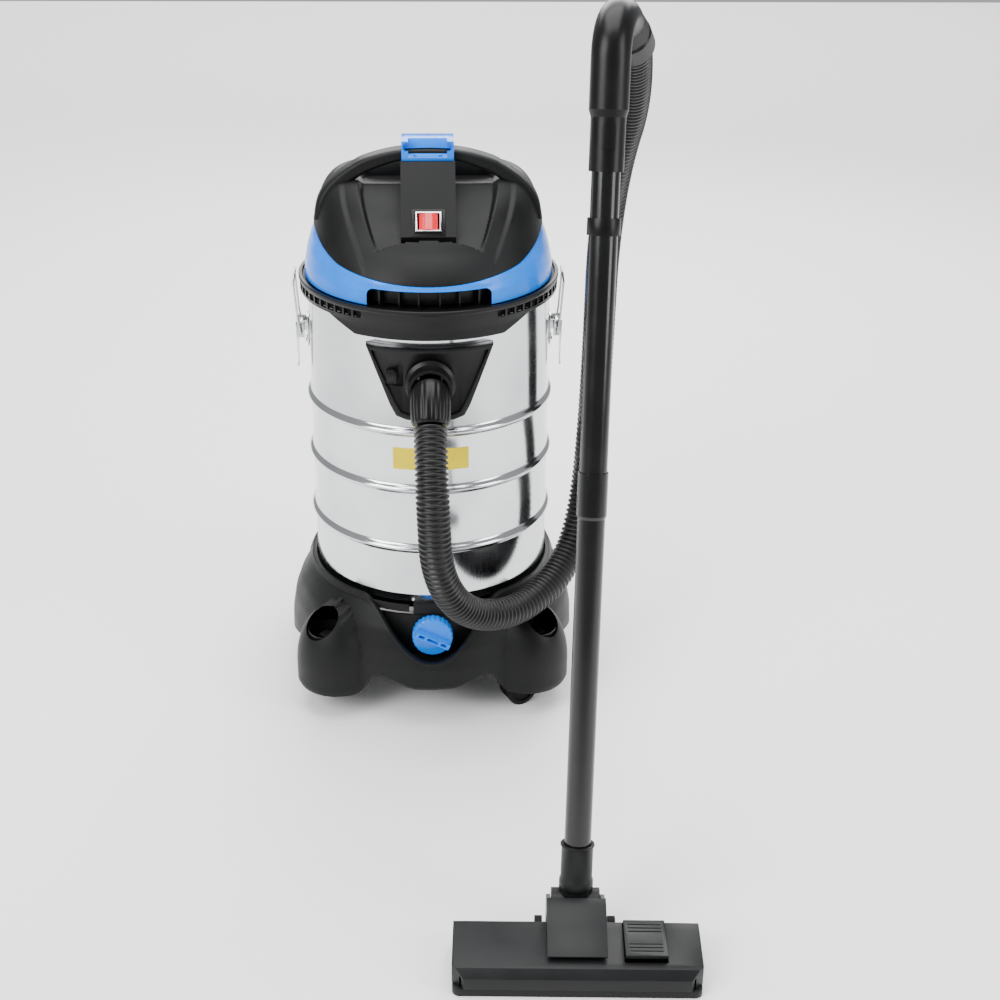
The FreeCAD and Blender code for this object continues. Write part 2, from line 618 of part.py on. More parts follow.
def dome_section(height, half, front, rear, inset):
    points = []
    for step in range(48):
        angle = 2 * math.pi * step / 48
        reach = front if math.sin(angle) < 0 else rear
        across = (half - inset) * math.cos(angle)
        points.append(Vector(across, (reach - inset) * math.sin(angle), height))
    return closed_curve(points)


skin = float(dim.shell_wall)
dome = lofted([dome_section(*row, 0.0) for row in DOME])
dome_hollow = lofted([dome_section(*row, 1.4 * skin) for row in DOME])
dome_hollow = dome_hollow.common(upright(0, 0, 400.0, DOME[0][0] - 1.0, DOME[-1][0] - skin))
panel_cut = prism_x([(-36.0, 757.0), (-36.0, 750.0), (-112.0, 693.0), (-118.0, 696.0), (-130.0, 757.0)],
                    dim.panel_half)
panel_backing = panel_cut.copy()
panel_backing.translate(Vector(0, skin, -skin))
seam = [(-190.0, 646.0), (-168.0, 650.0), (-110.0, 664.0), (-50.0, 688.0), (0.0, 702.0), (60.0, 712.0),
        (190.0, 716.0)]
above_seam = prism_x(seam + [(190.0, 900.0), (-190.0, 900.0)], 200.0)
front_window = Part.makeBox(165.0, 60.0, 19.0, Vector(-82.5, -200.0, float(dim.band_top) + 4.0))
dome_wall = dome.cut(dome_hollow.cut(panel_backing)).cut(panel_cut)
cover_shape = dome_wall.common(above_seam)
cowl_shape = dome_wall.cut(above_seam).cut(front_window)
screw_spots = [(x, -98.0, 704.0) for x in (-61.0, 61.0)]
panel_normal = Vector(0, -57.0, 76.0).normalize()
for spot in screw_spots:
    start = Vector(*spot) - panel_normal * 30
    cover_shape = cover_shape.cut(Part.makeCylinder(4.5, 60.0, start, panel_normal))
cowl = finished(feature("cowl", cowl_shape), "cowl")

band = upright_ring(dim.band_radius - dim.band_wall, dim.band_radius, dim.band_bottom, dim.band_top)
apron_cut = prism_y([(-float(dim.apron_half), dim.apron_bottom), (float(dim.apron_half), dim.apron_bottom),
                     (1.35 * float(dim.apron_half), dim.band_bottom + 1.0),
                     (-1.35 * float(dim.apron_half), dim.band_bottom + 1.0)], -300.0, 0.0)
apron = upright_ring(dim.band_radius - dim.band_wall, dim.band_radius, dim.apron_bottom,
                     dim.band_bottom + 1.0).common(apron_cut)
shelf = upright_ring(dim.drum_radius - 20.0, dim.band_radius - 1.0, dim.band_top - 3.0, dim.band_top)
band = band.fuse(apron).fuse(shelf)
for sign in (-1, 1):
    for step in range(8):
        angle = math.radians(-90.0 + sign * (29.0 + 5.4 * step))
        slot = Part.makeBox(20.0, 12.5, 12.0, Vector(-10.0, -6.25, 0.0))
        outward = Vector(math.cos(angle), math.sin(angle), 0.0)
        slot.Placement = Placement(
            outward * float(dim.band_radius) + UP * (float(dim.band_bottom) + 4.0),
            Rotation(UP, math.degrees(angle)))
        band = band.cut(slot)
    # the tab ends just inside the bail's bar, so that the head lifts straight out
    tab_end = float(hook_reach) - wire - 0.3
    tab_start = float(dim.band_radius) - float(dim.band_wall)
    tab_x = tab_start if sign > 0 else -tab_end
    tab = Part.makeBox(tab_end - tab_start, 24.0, 12.0,
                       Vector(tab_x, -12.0, float(dim.bail_top) - wire - 12.3))
    band = band.fuse(tab)
finished(feature("lid_ring", band.removeSplitter()), "lid_ring")

arch_out = [(-159.0, 706.0), (-151.0, 727.0), (-141.0, 746.0), (-123.0, 763.0), (-104.0, 776.5),
            (-84.0, 788.0), (-44.0, 797.5), (0.0, 800.0)]
arch_out += [(-x, z) for x, z in arch_out[-2::-1]]
arch_in = [(-140.0, 706.0), (-132.0, 724.0), (-118.0, 741.0), (-98.0, 757.0), (-70.0, 771.0), (-36.0, 781.0),
           (0.0, 784.0)]
arch_in += [(-x, z) for x, z in arch_in[-2::-1]]
arch_lift = float(dim.arch_top) - 800.0


def arch_curve(spots, y):
    curve = Part.BSplineCurve()
    curve.interpolate([Vector(x, y, z + arch_lift) for x, z in spots])
    return curve.toShape()


arch_front = float(dim.arch_y - dim.arch_width / 2)
outer_edge = arch_curve(arch_out, arch_front)
inner_edge = arch_curve(arch_in, arch_front)
feet = [Part.makeLine(outer_edge.Vertexes[end].Point, inner_edge.Vertexes[end].Point) for end in (0, 1)]
arch_face = Part.Face(Part.Wire(Part.__sortEdges__([outer_edge, inner_edge] + feet)))
arch = arch_face.extrude(ALONG_Y * float(dim.arch_width)).cut(dome)
finished(feature("carry_handle", arch), "carry_handle")

console_x = float(dim.console_half)
slope_top = Vector(0, -52.0, 786.0)
slope_foot = Vector(0, -122.0, 700.0)
console = prism_x([(arch_front - 0.1, 786.0), (slope_top.y, slope_top.z), (slope_foot.y, slope_foot.z),
                   (-126.0, 692.0), (-118.0, 684.0), (arch_front - 0.1, 740.0)], console_x)
console = console.cut(dome.cut(panel_cut))
slope_angle = math.degrees(math.atan2(slope_top.z - slope_foot.z, slope_top.y - slope_foot.y))
switch_turn = Rotation(ALONG_X, slope_angle)
switch_spot = slope_foot + (slope_top - slope_foot) * 0.22


def on_slope(shape):
    shape.Placement = Placement(switch_spot, switch_turn).multiply(shape.Placement)
    return shape


def plaque(width, height, low, high):
    return Part.makeBox(float(width), float(height), high - low,
                        Vector(-float(width) / 2, -float(height) / 2, low))


switch_pocket = on_slope(plaque(dim.switch_width + 0.4, dim.switch_height + 0.4, -5.0, 20.0).fuse(
    plaque(dim.switch_width - 7.6, dim.switch_height - 7.6, -40.0, 0.0)))
cover_shape = cover_shape.cut(switch_pocket)
finished(feature("console", console.cut(switch_pocket)), "console")
finished(feature("motor_cover", cover_shape), "motor_cover")

switch_frame = plaque(dim.switch_width, dim.switch_height, -4.9, 0.6).fuse(
    plaque(dim.switch_width - 8.0, dim.switch_height - 8.0, -24.0, 3.0))
rocker_room = plaque(dim.rocker_width + 0.8, dim.rocker_height + 0.8, -14.0, 10.0)
bezel_room = plaque(dim.rocker_width + 5.0, dim.rocker_height + 5.0, 1.5, 10.0)
finished(feature("switch_frame", switch_frame.cut(rocker_room).cut(bezel_room)), "switch_frame")
bezel = plaque(dim.rocker_width + 4.8, dim.rocker_height + 4.8, 1.6, 4.2).cut(rocker_room)
finished(feature("switch_bezel", bezel), "switch_bezel")
rocker = Part.makeCylinder(19.0, float(dim.rocker_height), Vector(0, -float(dim.rocker_height) / 2, -13.0),
                           ALONG_Y).common(plaque(dim.rocker_width - 4.0, dim.rocker_height, -5.5, 6.5))
finished(feature("switch_rocker", rocker), "switch_rocker")
for label in ("switch_frame", "switch_bezel", "switch_rocker"):
    placed[label] = (tuple(switch_spot), switch_turn)

bracket_x = float(dim.bracket_half)
saddle = Part.makeBox(2 * bracket_x, float(dim.arch_width) + 10.0, 26.0,
                      Vector(-bracket_x, arch_front - 10.0, 786.0))
slope_off = prism_x([(arch_front - 11.0, 790.0), (arch_front - 11.0, 815.0), (arch_front + 10.0, 815.0),
                     (arch_front + 2.0, 794.0)], 26.0)
saddle = saddle.cut(slope_off).cut(arch_face.extrude(ALONG_Y * (float(dim.arch_width) + 0.1)))
for sign in (-1, 1):
    saddle = saddle.cut(Part.makeCylinder(6.5, 14.0, Vector(sign * 27.0, arch_front - 10.0, 804.0), ALONG_Y))
    saddle = saddle.cut(Part.makeCylinder(2.5, 5.0, Vector(sign * 17.0, arch_front - 5.0, 787.0)))
saddle = saddle.cut(console)
largest = max(saddle.Solids, key=lambda solid: solid.Volume)
finished(feature("handle_bracket", largest), "handle_bracket")


# ---- motor, fan and filter -------------------------------------------------------------------

pan_top = dim.band_top - 3.2
pan_radius = dim.drum_radius - dim.drum_wall - 1.5
finished(turned("lid_pan", [
    (dim.float_radius - 8.0, pan_top - 12.0), (dim.cage_radius + 8.0, pan_top - 12.0),
    (dim.cage_radius + 8.0, pan_top - 3.0), (pan_radius + 8.0, pan_top - 3.0), (pan_radius + 8.0, pan_top),
    (dim.float_radius - 8.0, pan_top)]), "lid_pan")
finished(ring("lid_seal", dim.drum_radius - 4.0, dim.drum_radius + dim.rim_rise, dim.drum_top + 0.2,
              pan_top - 3.2), "lid_seal")
can_base = pan_top + 0.2
can_top = can_base + dim.fan_can_height
finished(turned("fan_housing", [
    (dim.float_radius - 8.0, can_base), (dim.fan_can_radius, can_base), (dim.fan_can_radius, can_top),
    (dim.shaft_radius + 8.0, can_top), (dim.shaft_radius + 8.0, can_top - 2.0),
    (dim.fan_can_radius - 2.0, can_top - 2.0), (dim.fan_can_radius - 2.0, can_base + 2.0),
    (dim.float_radius - 8.0, can_base + 2.0)]), "fan_housing")
motor_base = can_top + 0.2
motor_top = motor_base + dim.motor_height
bore = dim.shaft_radius + 0.05
finished(turned("motor_body", [
    (bore, motor_base), (dim.motor_radius - 8.0, motor_base), (dim.motor_radius, motor_base + 8.0),
    (dim.motor_radius, motor_top - 12.0), (dim.motor_radius - 18.0, motor_top), (bore, motor_top),
    (bore, motor_top - 12.0), (dim.motor_radius - 20.0, motor_top - 16.0),
    (dim.motor_radius - 20.0, motor_base + 14.0), (bore, motor_base + 12.0)]), "motor_body")
finished(turned("rotor_shaft", [
    (0.0, can_base + 4.0), (dim.shaft_radius, can_base + 4.0), (dim.shaft_radius, motor_base + 18.0),
    (dim.motor_radius - 24.0, motor_base + 20.0), (dim.motor_radius - 24.0, motor_top - 22.0),
    (dim.shaft_radius, motor_top - 20.0), (dim.shaft_radius, motor_top + 3.0), (0.0, motor_top + 3.0)]),
    "rotor_shaft")
fan_low = float(can_base) + 5.0
fan_high = float(can_top) - 5.0
fan = upright_ring(dim.shaft_radius, dim.fan_radius, fan_high - 2.0, fan_high).fuse(
    upright_ring(dim.shaft_radius + 16.0, dim.fan_radius, fan_low, fan_low + 1.5)).fuse(
    upright_ring(dim.shaft_radius, dim.shaft_radius + 6.0, fan_low, fan_high))
for step in range(9):
    blade = Part.makeBox(float(dim.fan_radius) - 24.0, 1.5, fan_high - fan_low - 1.0,
                         Vector(23.0, 0.0, fan_low + 0.5))
    blade.rotate(Vector(23.0, 0, 0), UP, 30.0)
    blade.rotate(ORIGIN, UP, 40.0 * step)
    fan = fan.fuse(blade.common(upright(0, 0, dim.fan_radius, fan_low, fan_high)))
finished(feature("fan", fan), "fan")

cage_top = pan_top - 12.2
cage_low = cage_top - dim.cage_length
cage = ring("cage_tube", dim.cage_radius - dim.cage_wall, dim.cage_radius, cage_low, cage_top)
cage_floor = rod("cage_floor", (0.0, 0.0, cage_low), dim.cage_radius - 1.0, dim.cage_wall)
windows = []
for step in range(10):
    angle = 36.0 * step
    reach = dim.cage_radius + 4.0
    window = doc.addObject("Part::Box", f"cage_window_{step}")
    bind(window, Length=30.0, Width=26.0, Height=dim.cage_length - 70.0)
    put(window, (reach * math.cos(math.radians(angle)) - 15.0 * math.cos(math.radians(angle))
                 + 13.0 * math.sin(math.radians(angle)),
                 reach * math.sin(math.radians(angle)) - 15.0 * math.sin(math.radians(angle))
                 - 13.0 * math.cos(math.radians(angle)), cage_low + 55.0), Rotation(UP, angle))
    windows.append(window)
finished(trimmed("filter_cage", fused("cage_solid", cage, cage_floor), *windows), "filter_cage")
finished(ring("filter_sleeve", dim.cage_radius + 0.3, dim.cage_radius + dim.sleeve_wall, cage_low + 1.0,
              cage_top - 1.0), "filter_sleeve")
float_low = cage_low + dim.cage_wall + 0.3
finished(turned("float_cup", [
    (0.0, float_low), (dim.float_radius - 4.0, float_low), (dim.float_radius, float_low + 4.0),
    (dim.float_radius, float_low + dim.float_height), (0.0, float_low + dim.float_height)]), "float_cup")

port_height = 668.0
port_y = 150.0
port_tube = turned("port_tube", [
    (dim.port_bore, 0.0), (dim.port_radius, 0.0), (dim.port_radius, 6.0), (dim.port_bore + 3.0, 6.0),
    (dim.port_bore + 3.0, dim.port_length), (dim.port_bore, dim.port_length)])
finished(port_tube, "blower_port")
facing_rear = Rotation(ALONG_X, -90.0)
placed["blower_port"] = ((0.0, port_y, port_height), facing_rear)
port_hole = Part.makeCylinder(float(dim.port_radius) + 0.3, 100.0,
                              Vector(0, port_y - 20.0, port_height), ALONG_Y)
gland_spot = Vector(70.0, 138.0, 655.0)
gland_hole = Part.makeCylinder(8.3, 80.0, gland_spot - ALONG_Y * 20, ALONG_Y)
cowl.Shape = cowl_shape.cut(port_hole).cut(gland_hole)
gland = Part.makeCylinder(8.0, 12.0, gland_spot - ALONG_Y * 4, ALONG_Y).fuse(
    Part.makeCone(7.0, 5.0, 16.0, gland_spot + ALONG_Y * 8, ALONG_Y))
gland = gland.cut(Part.makeCylinder(3.5, 60.0, gland_spot - ALONG_Y * 10, ALONG_Y))
finished(feature("cord_gland", gland), "cord_gland")
cover_screws = [Part.makeCylinder(3.5, 10.0, Vector(*spot) - panel_normal * 11, panel_normal)
                for spot in screw_spots]
finished(feature("cover_screws", Part.makeCompound(cover_screws)), "cover_screws")


# ---- wand ------------------------------------------------------------------------------------

# Wand pieces are drawn with the tube's axis upright through the floor head's pivot.
wand_spot = (dim.pivot_x, dim.pivot_y, dim.pivot_height)
yaw_turn = Rotation(UP, float(dim.wand_yaw))
lean_turn = Rotation(ALONG_X, -float(dim.wand_lean))
wand_turn = yaw_turn.multiply(Rotation(ALONG_Y, float(dim.wand_side))).multiply(lean_turn)
knuckle_turn = yaw_turn.multiply(lean_turn)
inner_tube = dim.tube_radius - dim.tube_wall
socket_inner = dim.tube_radius + dim.seat_gap
socket_outer = socket_inner + 1.4
flare_start = dim.joint_at - dim.joint_overlap - 4.0
upper_start = dim.joint_at - dim.joint_overlap
finished(turned("wand_tube_lower", [
    (inner_tube, dim.lower_start), (dim.tube_radius, dim.lower_start), (dim.tube_radius, flare_start - 4.0),
    (socket_outer, flare_start), (socket_outer, dim.joint_at), (socket_inner, dim.joint_at),
    (socket_inner, upper_start - 1.0), (inner_tube, flare_start - 3.0)]), "wand_tube_lower")
upper_end = dim.grip_start + dim.grip_overlap
finished(ring("wand_tube_upper", inner_tube, dim.tube_radius, upper_start, upper_end), "wand_tube_upper")
neck_wall = dim.neck_radius - 1.5
finished(turned("swivel_neck", [
    (dim.tube_radius - 2.0, dim.neck_start + 1.5), (dim.neck_radius, dim.neck_start + 1.5),
    (dim.neck_radius, dim.neck_start + 12.0), (neck_wall, dim.neck_start + 17.0),
    (neck_wall, dim.neck_end - 2.5),
    (dim.neck_radius, dim.neck_end - 2.5), (dim.neck_radius, dim.neck_end), (socket_inner, dim.neck_end),
    (socket_inner, dim.lower_start - 0.5), (dim.tube_radius - 2.0, dim.lower_start - 0.5)]), "swivel_neck")

clip_ring = upright_ring(socket_inner, socket_inner + 2.6, dim.clip_at, dim.clip_at + dim.clip_height)
clip_hook = Part.makeBox(14.0, 12.0, 5.0, Vector(-7.0, float(socket_inner) + 2.0, float(dim.clip_at) + 14.0))
clip_tongue = Part.makeBox(14.0, 3.0, 34.0,
                           Vector(-7.0, float(socket_inner) + 11.0, float(dim.clip_at) - 15.0))
parking_clip = clip_ring.fuse(clip_hook).fuse(clip_tongue).removeSplitter()
finished(feature("parking_clip", parking_clip), "parking_clip")

bend = float(dim.grip_bend)
turn_rad = math.radians(float(dim.grip_turn))
grip_yaw = math.radians(float(dim.grip_yaw))
grip_side = Vector(-math.sin(grip_yaw), math.cos(grip_yaw), 0)


def on_bend(angle):
    """A point of the handle's bend, after turning through the angle."""
    return UP * (float(dim.grip_bend_at) + bend * math.sin(angle)) + grip_side * bend * (1 - math.cos(angle))


exit_direction = UP * math.cos(turn_rad) + grip_side * math.sin(turn_rad)
bend_end = on_bend(turn_rad)
grip_exit = bend_end + exit_direction * float(dim.grip_end)


def grip_path(start_height, extra):
    start = UP * start_height
    return Part.Wire([
        Part.makeLine(start, on_bend(0.0)),
        Part.Arc(on_bend(0.0), on_bend(turn_rad / 2), bend_end).toShape(),
        Part.makeLine(bend_end, grip_exit + exit_direction * extra)])


def grip_sweep(radius, start_height, extra=0.0):
    circle = Part.Wire(Part.makeCircle(radius, UP * start_height, UP))
    return grip_path(start_height, extra).makePipeShell([circle], True, False)


grip_low = float(dim.grip_start)
grip_radius = float(dim.grip_radius)
grip = grip_sweep(grip_radius + 2.5, grip_low + 66.0)
grip = grip.fuse(Part.makeCone(grip_radius, grip_radius + 2.5, 8.0, UP * (grip_low + 58.0), UP))
grip = grip.fuse(upright(0, 0, grip_radius, grip_low, grip_low + 58.0))
grip = grip.fuse(Part.makeCone(grip_radius + 2.5, grip_radius + 5.0, float(dim.grip_end), bend_end,
                               exit_direction))
grip = grip.cut(grip_sweep(grip_radius - float(dim.grip_wall), grip_low + 50.0, 5.0))
grip = grip.cut(upright(0, 0, socket_inner, grip_low - 1.0, float(upper_end) + 0.5))
grip = grip.cut(upright(0, 0, inner_tube, grip_low - 1.0, grip_low + 51.0))
bleed_low = float(dim.bleed_at)
bleed_top = bleed_low + float(dim.bleed_length)
grip = grip.cut(Part.makeBox(7.0, 40.0, 10.0, Vector(-3.5, -45.0, bleed_top - 12.0)))
finished(feature("wand_handle", grip.removeSplitter()), "wand_handle")
slider = upright_ring(grip_radius + 0.2, grip_radius + 2.2, bleed_low, bleed_top).common(
    Part.makeBox(15.0, 40.0, 300.0, Vector(-7.5, -40.0, bleed_low - 100.0)))
finished(feature("bleed_slider", slider), "bleed_slider")
for label in ("wand_tube_lower", "wand_tube_upper", "swivel_neck", "parking_clip", "wand_handle",
              "bleed_slider"):
    placed[label] = (wand_spot, wand_turn)

wand_place = Placement(Vector(*(float(v) for v in wand_spot)), wand_turn)
cuff_radius = dim.hose_radius + dim.cuff_wall
finished(turned("hose_cuff_handle", [
    (0.0, 0.3), (cuff_radius - 5.0, 0.3), (cuff_radius - 0.5, 6.0),
    (cuff_radius, dim.cuff_length - dim.running_fit), (0.0, dim.cuff_length - dim.running_fit)]),
    "hose_cuff_handle")
cuff_turn = wand_turn.multiply(Rotation(UP, exit_direction))
cuff_spot = wand_place.multVec(grip_exit)
placed["hose_cuff_handle"] = (tuple(cuff_spot), cuff_turn)
cuff_end = wand_place.multVec(grip_exit + exit_direction * float(dim.cuff_length))
cuff_heading = wand_turn.multVec(exit_direction)


# ---- floor head ------------------------------------------------------------------------------

# Drawn with the pivot at the origin and the floor at minus the pivot's height.
floor = -float(dim.pivot_height)
sole_half = float(dim.sole_width) / 2
front = -float(dim.sole_front)
back = -float(dim.sole_back)
sole_top = floor + float(dim.sole_thick)
shell_top = floor + float(dim.shell_height)
shell_side = [(front, sole_top), (front, sole_top + 16.0), (front + 9.0, sole_top + 25.0),
              (front + 70.0, shell_top), (back - 22.0, shell_top), (back, sole_top + 14.0), (back, sole_top)]
shell_block = prism_x(shell_side, sole_half)
corner_cut = 10.0
for sign in (-1, 1):
    for y in (front, back):
        corner = Part.makeBox(2 * corner_cut, 2 * corner_cut, 200.0,
                              Vector(-corner_cut, -corner_cut, -100.0))
        corner.Placement = Placement(Vector(sign * sole_half, y, 0), Rotation(UP, 45.0))
        shell_block = shell_block.cut(corner.common(Part.makeBox(600, 600, 200, Vector(-300, -300, -100))))
inner_side = [(front + 3.0, sole_top - 1.0), (front + 3.0, sole_top + 15.0), (front + 11.0, sole_top + 22.0),
              (front + 70.0, shell_top - 3.0), (back - 23.0, shell_top - 3.0), (back - 3.0, sole_top + 12.0),
              (back - 3.0, sole_top - 1.0)]
shell_hollow = prism_x(inner_side, sole_half - 9.0)
pedal_left = float(dim.pedal_x - dim.pedal_half)
pedal_front = -float(dim.pedal_front)
pedal_back = -float(dim.pedal_back)
pedal_room = Part.makeBox(2 * float(dim.pedal_half) + 1.6, pedal_back - pedal_front + 1.6, 60.0,
                          Vector(pedal_left - 0.8, pedal_front - 0.8, sole_top + 8.0))
barrel_half = float(dim.knuckle_half) - 6.0
barrel_radius = float(dim.neck_start) - 0.5
barrel_room = Part.makeBox(2 * barrel_half + 3.0, 70.0, 120.0,
                           Vector(-barrel_half - 1.5, -24.0, floor + 2.0))
floor_shell = shell_block.cut(shell_hollow).cut(pedal_room).cut(barrel_room)
roller_x = float(dim.knuckle_half) + 4.5
roller_y = -6.0
roller_room = [Part.makeBox(float(dim.roller_width) + 2.0, 60.0, 80.0, Vector(x, -26.0, floor - 5.0))
               for x in (roller_x - 1.0, -roller_x - float(dim.roller_width) - 1.0)]
floor_shell = floor_shell.cut(roller_room[0]).cut(roller_room[1])
roller_radius = float(dim.roller_radius) + 3.0
roller_spot = Vector(0, roller_y, floor + roller_radius)
roller_pin = 3.0
pin_room = Part.makeCylinder(roller_pin + 0.2, 120.0, roller_spot - ALONG_X * 60.0, ALONG_X)
floor_shell = floor_shell.cut(pin_room)
finished(feature("head_shell", floor_shell.removeSplitter()), "head_shell")

sole = Part.makeBox(2 * sole_half - 1.0, back - front - 1.0, float(dim.sole_thick) - 0.2,
                    Vector(-sole_half + 0.5, front + 0.5, floor))
sole = sole.makeFillet(9.0, [edge for edge in sole.Edges if abs(edge.tangentAt(0).z) > 0.9])
mouth_half = sole_half - 22.0
mouth_y = (front + back) / 2 - 14.0
mouth = Part.makeBox(2 * mouth_half, 20.0, 40.0, Vector(-mouth_half, mouth_y - 10.0, floor - 1.0))
brush_slots = [Part.makeBox(2 * mouth_half, 7.0, 40.0, Vector(-mouth_half, y, floor - 1.0))
               for y in (mouth_y - 24.0, mouth_y + 17.0)]
sole = sole.cut(mouth).cut(brush_slots[0]).cut(brush_slots[1])
rear_gap = Part.makeBox(2 * barrel_half + 3.0, 60.0, 60.0, Vector(-barrel_half - 1.5, -24.0, floor - 1.0))
sole = sole.cut(rear_gap).cut(roller_room[0]).cut(roller_room[1])
finished(feature("sole_plate", sole), "sole_plate")

strips = [Part.makeBox(2 * mouth_half - 1.0, 6.0, 11.0, Vector(-mouth_half + 0.5, y + 0.5, floor + 4.5))
          for y in (mouth_y - 24.0, mouth_y + 17.0)]
finished(feature("brush_strips", Part.makeCompound(strips)), "brush_strips")

pedal_mid = (pedal_front + pedal_back) / 2
pedal = Part.makeBox(2 * float(dim.pedal_half), pedal_back - pedal_front, 5.0,
                     Vector(pedal_left, pedal_front, shell_top - 1.0))
pedal = pedal.fuse(Part.makeBox(30.0, 8.0, 12.0, Vector(float(dim.pedal_x) - 15.0, pedal_mid - 4.0,
                                                                shell_top - 12.0)))
pedal_axis = shell_top - 3.0
pedal_pin_start = Vector(float(dim.pedal_x) - 17.0, pedal_mid, pedal_axis)
pedal = pedal.fuse(Part.makeCylinder(3.5, 34.0, pedal_pin_start, ALONG_X))
for offset in (-24.0, -18.0, -12.0, 10.0, 16.0, 22.0):
    pedal = pedal.cut(Part.makeBox(2 * float(dim.pedal_half) - 10.0, 1.6, 1.0,
                                   Vector(pedal_left + 5.0, pedal_mid + offset, shell_top + 3.0)))
finished(feature("brush_pedal", pedal.removeSplitter()), "brush_pedal")

hood_half = float(dim.knuckle_half)
hood_side = [(-23.0, 27.0), (-36.0, 24.0), (-56.0, 15.0), (-76.0, 4.0), (-92.0, shell_top + 1.5),
             (-92.0, shell_top), (-23.0, shell_top)]
hood = prism_x(hood_side, hood_half)
cheek_side = [(-24.0, 24.0), (8.0, 8.0), (12.0, -4.0), (6.0, -35.0), (-24.0, -35.0)]
cheeks = [prism_x(cheek_side, 2.4), prism_x(cheek_side, 2.4)]
cheeks[0].translate(Vector(hood_half - 2.4, 0, 0))
cheeks[1].translate(Vector(-hood_half + 2.4, 0, 0))
pin_length = 2 * (roller_x + float(dim.roller_width)) + 2.0
stub = Part.makeCylinder(roller_pin, pin_length, roller_spot - ALONG_X * pin_length / 2, ALONG_X)
stub = stub.cut(Part.makeBox(2 * hood_half - 4.8, 80.0, 80.0, Vector(-hood_half + 2.4, -40.0, -70.0)))
pivot_pin = Part.makeCylinder(4.0, 2 * hood_half, Vector(-hood_half, 0, 0), ALONG_X)
cover = hood.fuse(cheeks).fuse(stub).fuse(pivot_pin)
cover = cover.cut(floor_shell.common(prism_x(shell_side, hood_half + 1.0)))
finished(feature("duct_cover", cover), "duct_cover")

barrel = Part.makeCylinder(barrel_radius, 2 * barrel_half, Vector(-barrel_half, 0, 0), ALONG_X)
barrel = barrel.fuse(upright(0, 0, dim.neck_radius - 1.0, 0.0, dim.neck_start + 1.0))
barrel = barrel.cut(upright(0, 0, float(dim.tube_radius) - 4.0, 8.0, 60.0))
barrel = barrel.cut(Part.makeCylinder(4.3, 200.0, Vector(-100.0, 0, 0), ALONG_X))
finished(feature("knuckle", barrel.removeSplitter()), "knuckle")
rollers = []
for x in (roller_x, -roller_x - float(dim.roller_width)):
    start = roller_spot + ALONG_X * x
    wheel = Part.makeCylinder(roller_radius, float(dim.roller_width), start, ALONG_X)
    rollers.append(wheel.cut(Part.makeCylinder(roller_pin + 0.2, 40.0, start - ALONG_X * 10, ALONG_X)))
finished(feature("floor_rollers", Part.makeCompound(rollers)), "floor_rollers")
for label in ("head_shell", "sole_plate", "brush_strips", "brush_pedal", "duct_cover", "floor_rollers"):
    placed[label] = (wand_spot, yaw_turn)
placed["knuckle"] = (wand_spot, knuckle_turn)


# ---- hose ------------------------------------------------------------------------------------

INLET_TILT = 48.0
elbow_spot = Vector(0, -(float(dim.socket_front) + 4.0), float(dim.inlet_height) - 2.0)
tilt = math.radians(INLET_TILT)
inlet_heading = Vector(0, -math.cos(tilt), -math.sin(tilt))
elbow_reach = float(dim.cuff_length) + 12.0
plug_start = Vector(0, -(float(dim.socket_front) - 30.0), float(dim.inlet_height))
inlet_cuff = Part.makeCylinder(float(dim.socket_bore) - 0.15, 32.0, plug_start, -ALONG_Y)
inlet_cuff = inlet_cuff.fuse(Part.makeSphere(float(cuff_radius), elbow_spot))
inlet_cuff = inlet_cuff.fuse(Part.makeCylinder(
    float(cuff_radius) + 0.5, elbow_reach - float(dim.running_fit), elbow_spot, inlet_heading))
socket_keep = Part.makeCylinder(80.0, 100.0, Vector(0, -float(dim.socket_front) - 0.1,
                                                            float(dim.inlet_height)), ALONG_Y)
socket_keep = socket_keep.cut(Part.makeCylinder(float(dim.socket_bore) - 0.15, 400.0,
                                                plug_start + ALONG_Y * 200, -ALONG_Y))
finished(feature("hose_cuff_inlet", inlet_cuff.cut(socket_keep)), "hose_cuff_inlet")
inlet_end = elbow_spot + inlet_heading * elbow_reach

HOSE_ROUTE = [
    (0.0, -242.8, 483.8), (0.0, -265.5, 458.5), (0.5, -282.7, 428.0), (2.0, -294.7, 388.8),
    (6.0, -299.0, 288.9), (48.4, -253.7, 203.5), (126.0, -190.0, 174.0), (196.0, -115.0, 206.0),
    (228.0, -62.0, 288.9), (243.0, -50.0, 420.0), (259.0, -50.0, 550.0), (270.0, -73.0, 677.0),
    (274.0, -141.0, 807.0), (267.3, -234.4, 918.4), (234.4, -323.6, 991.7),
]


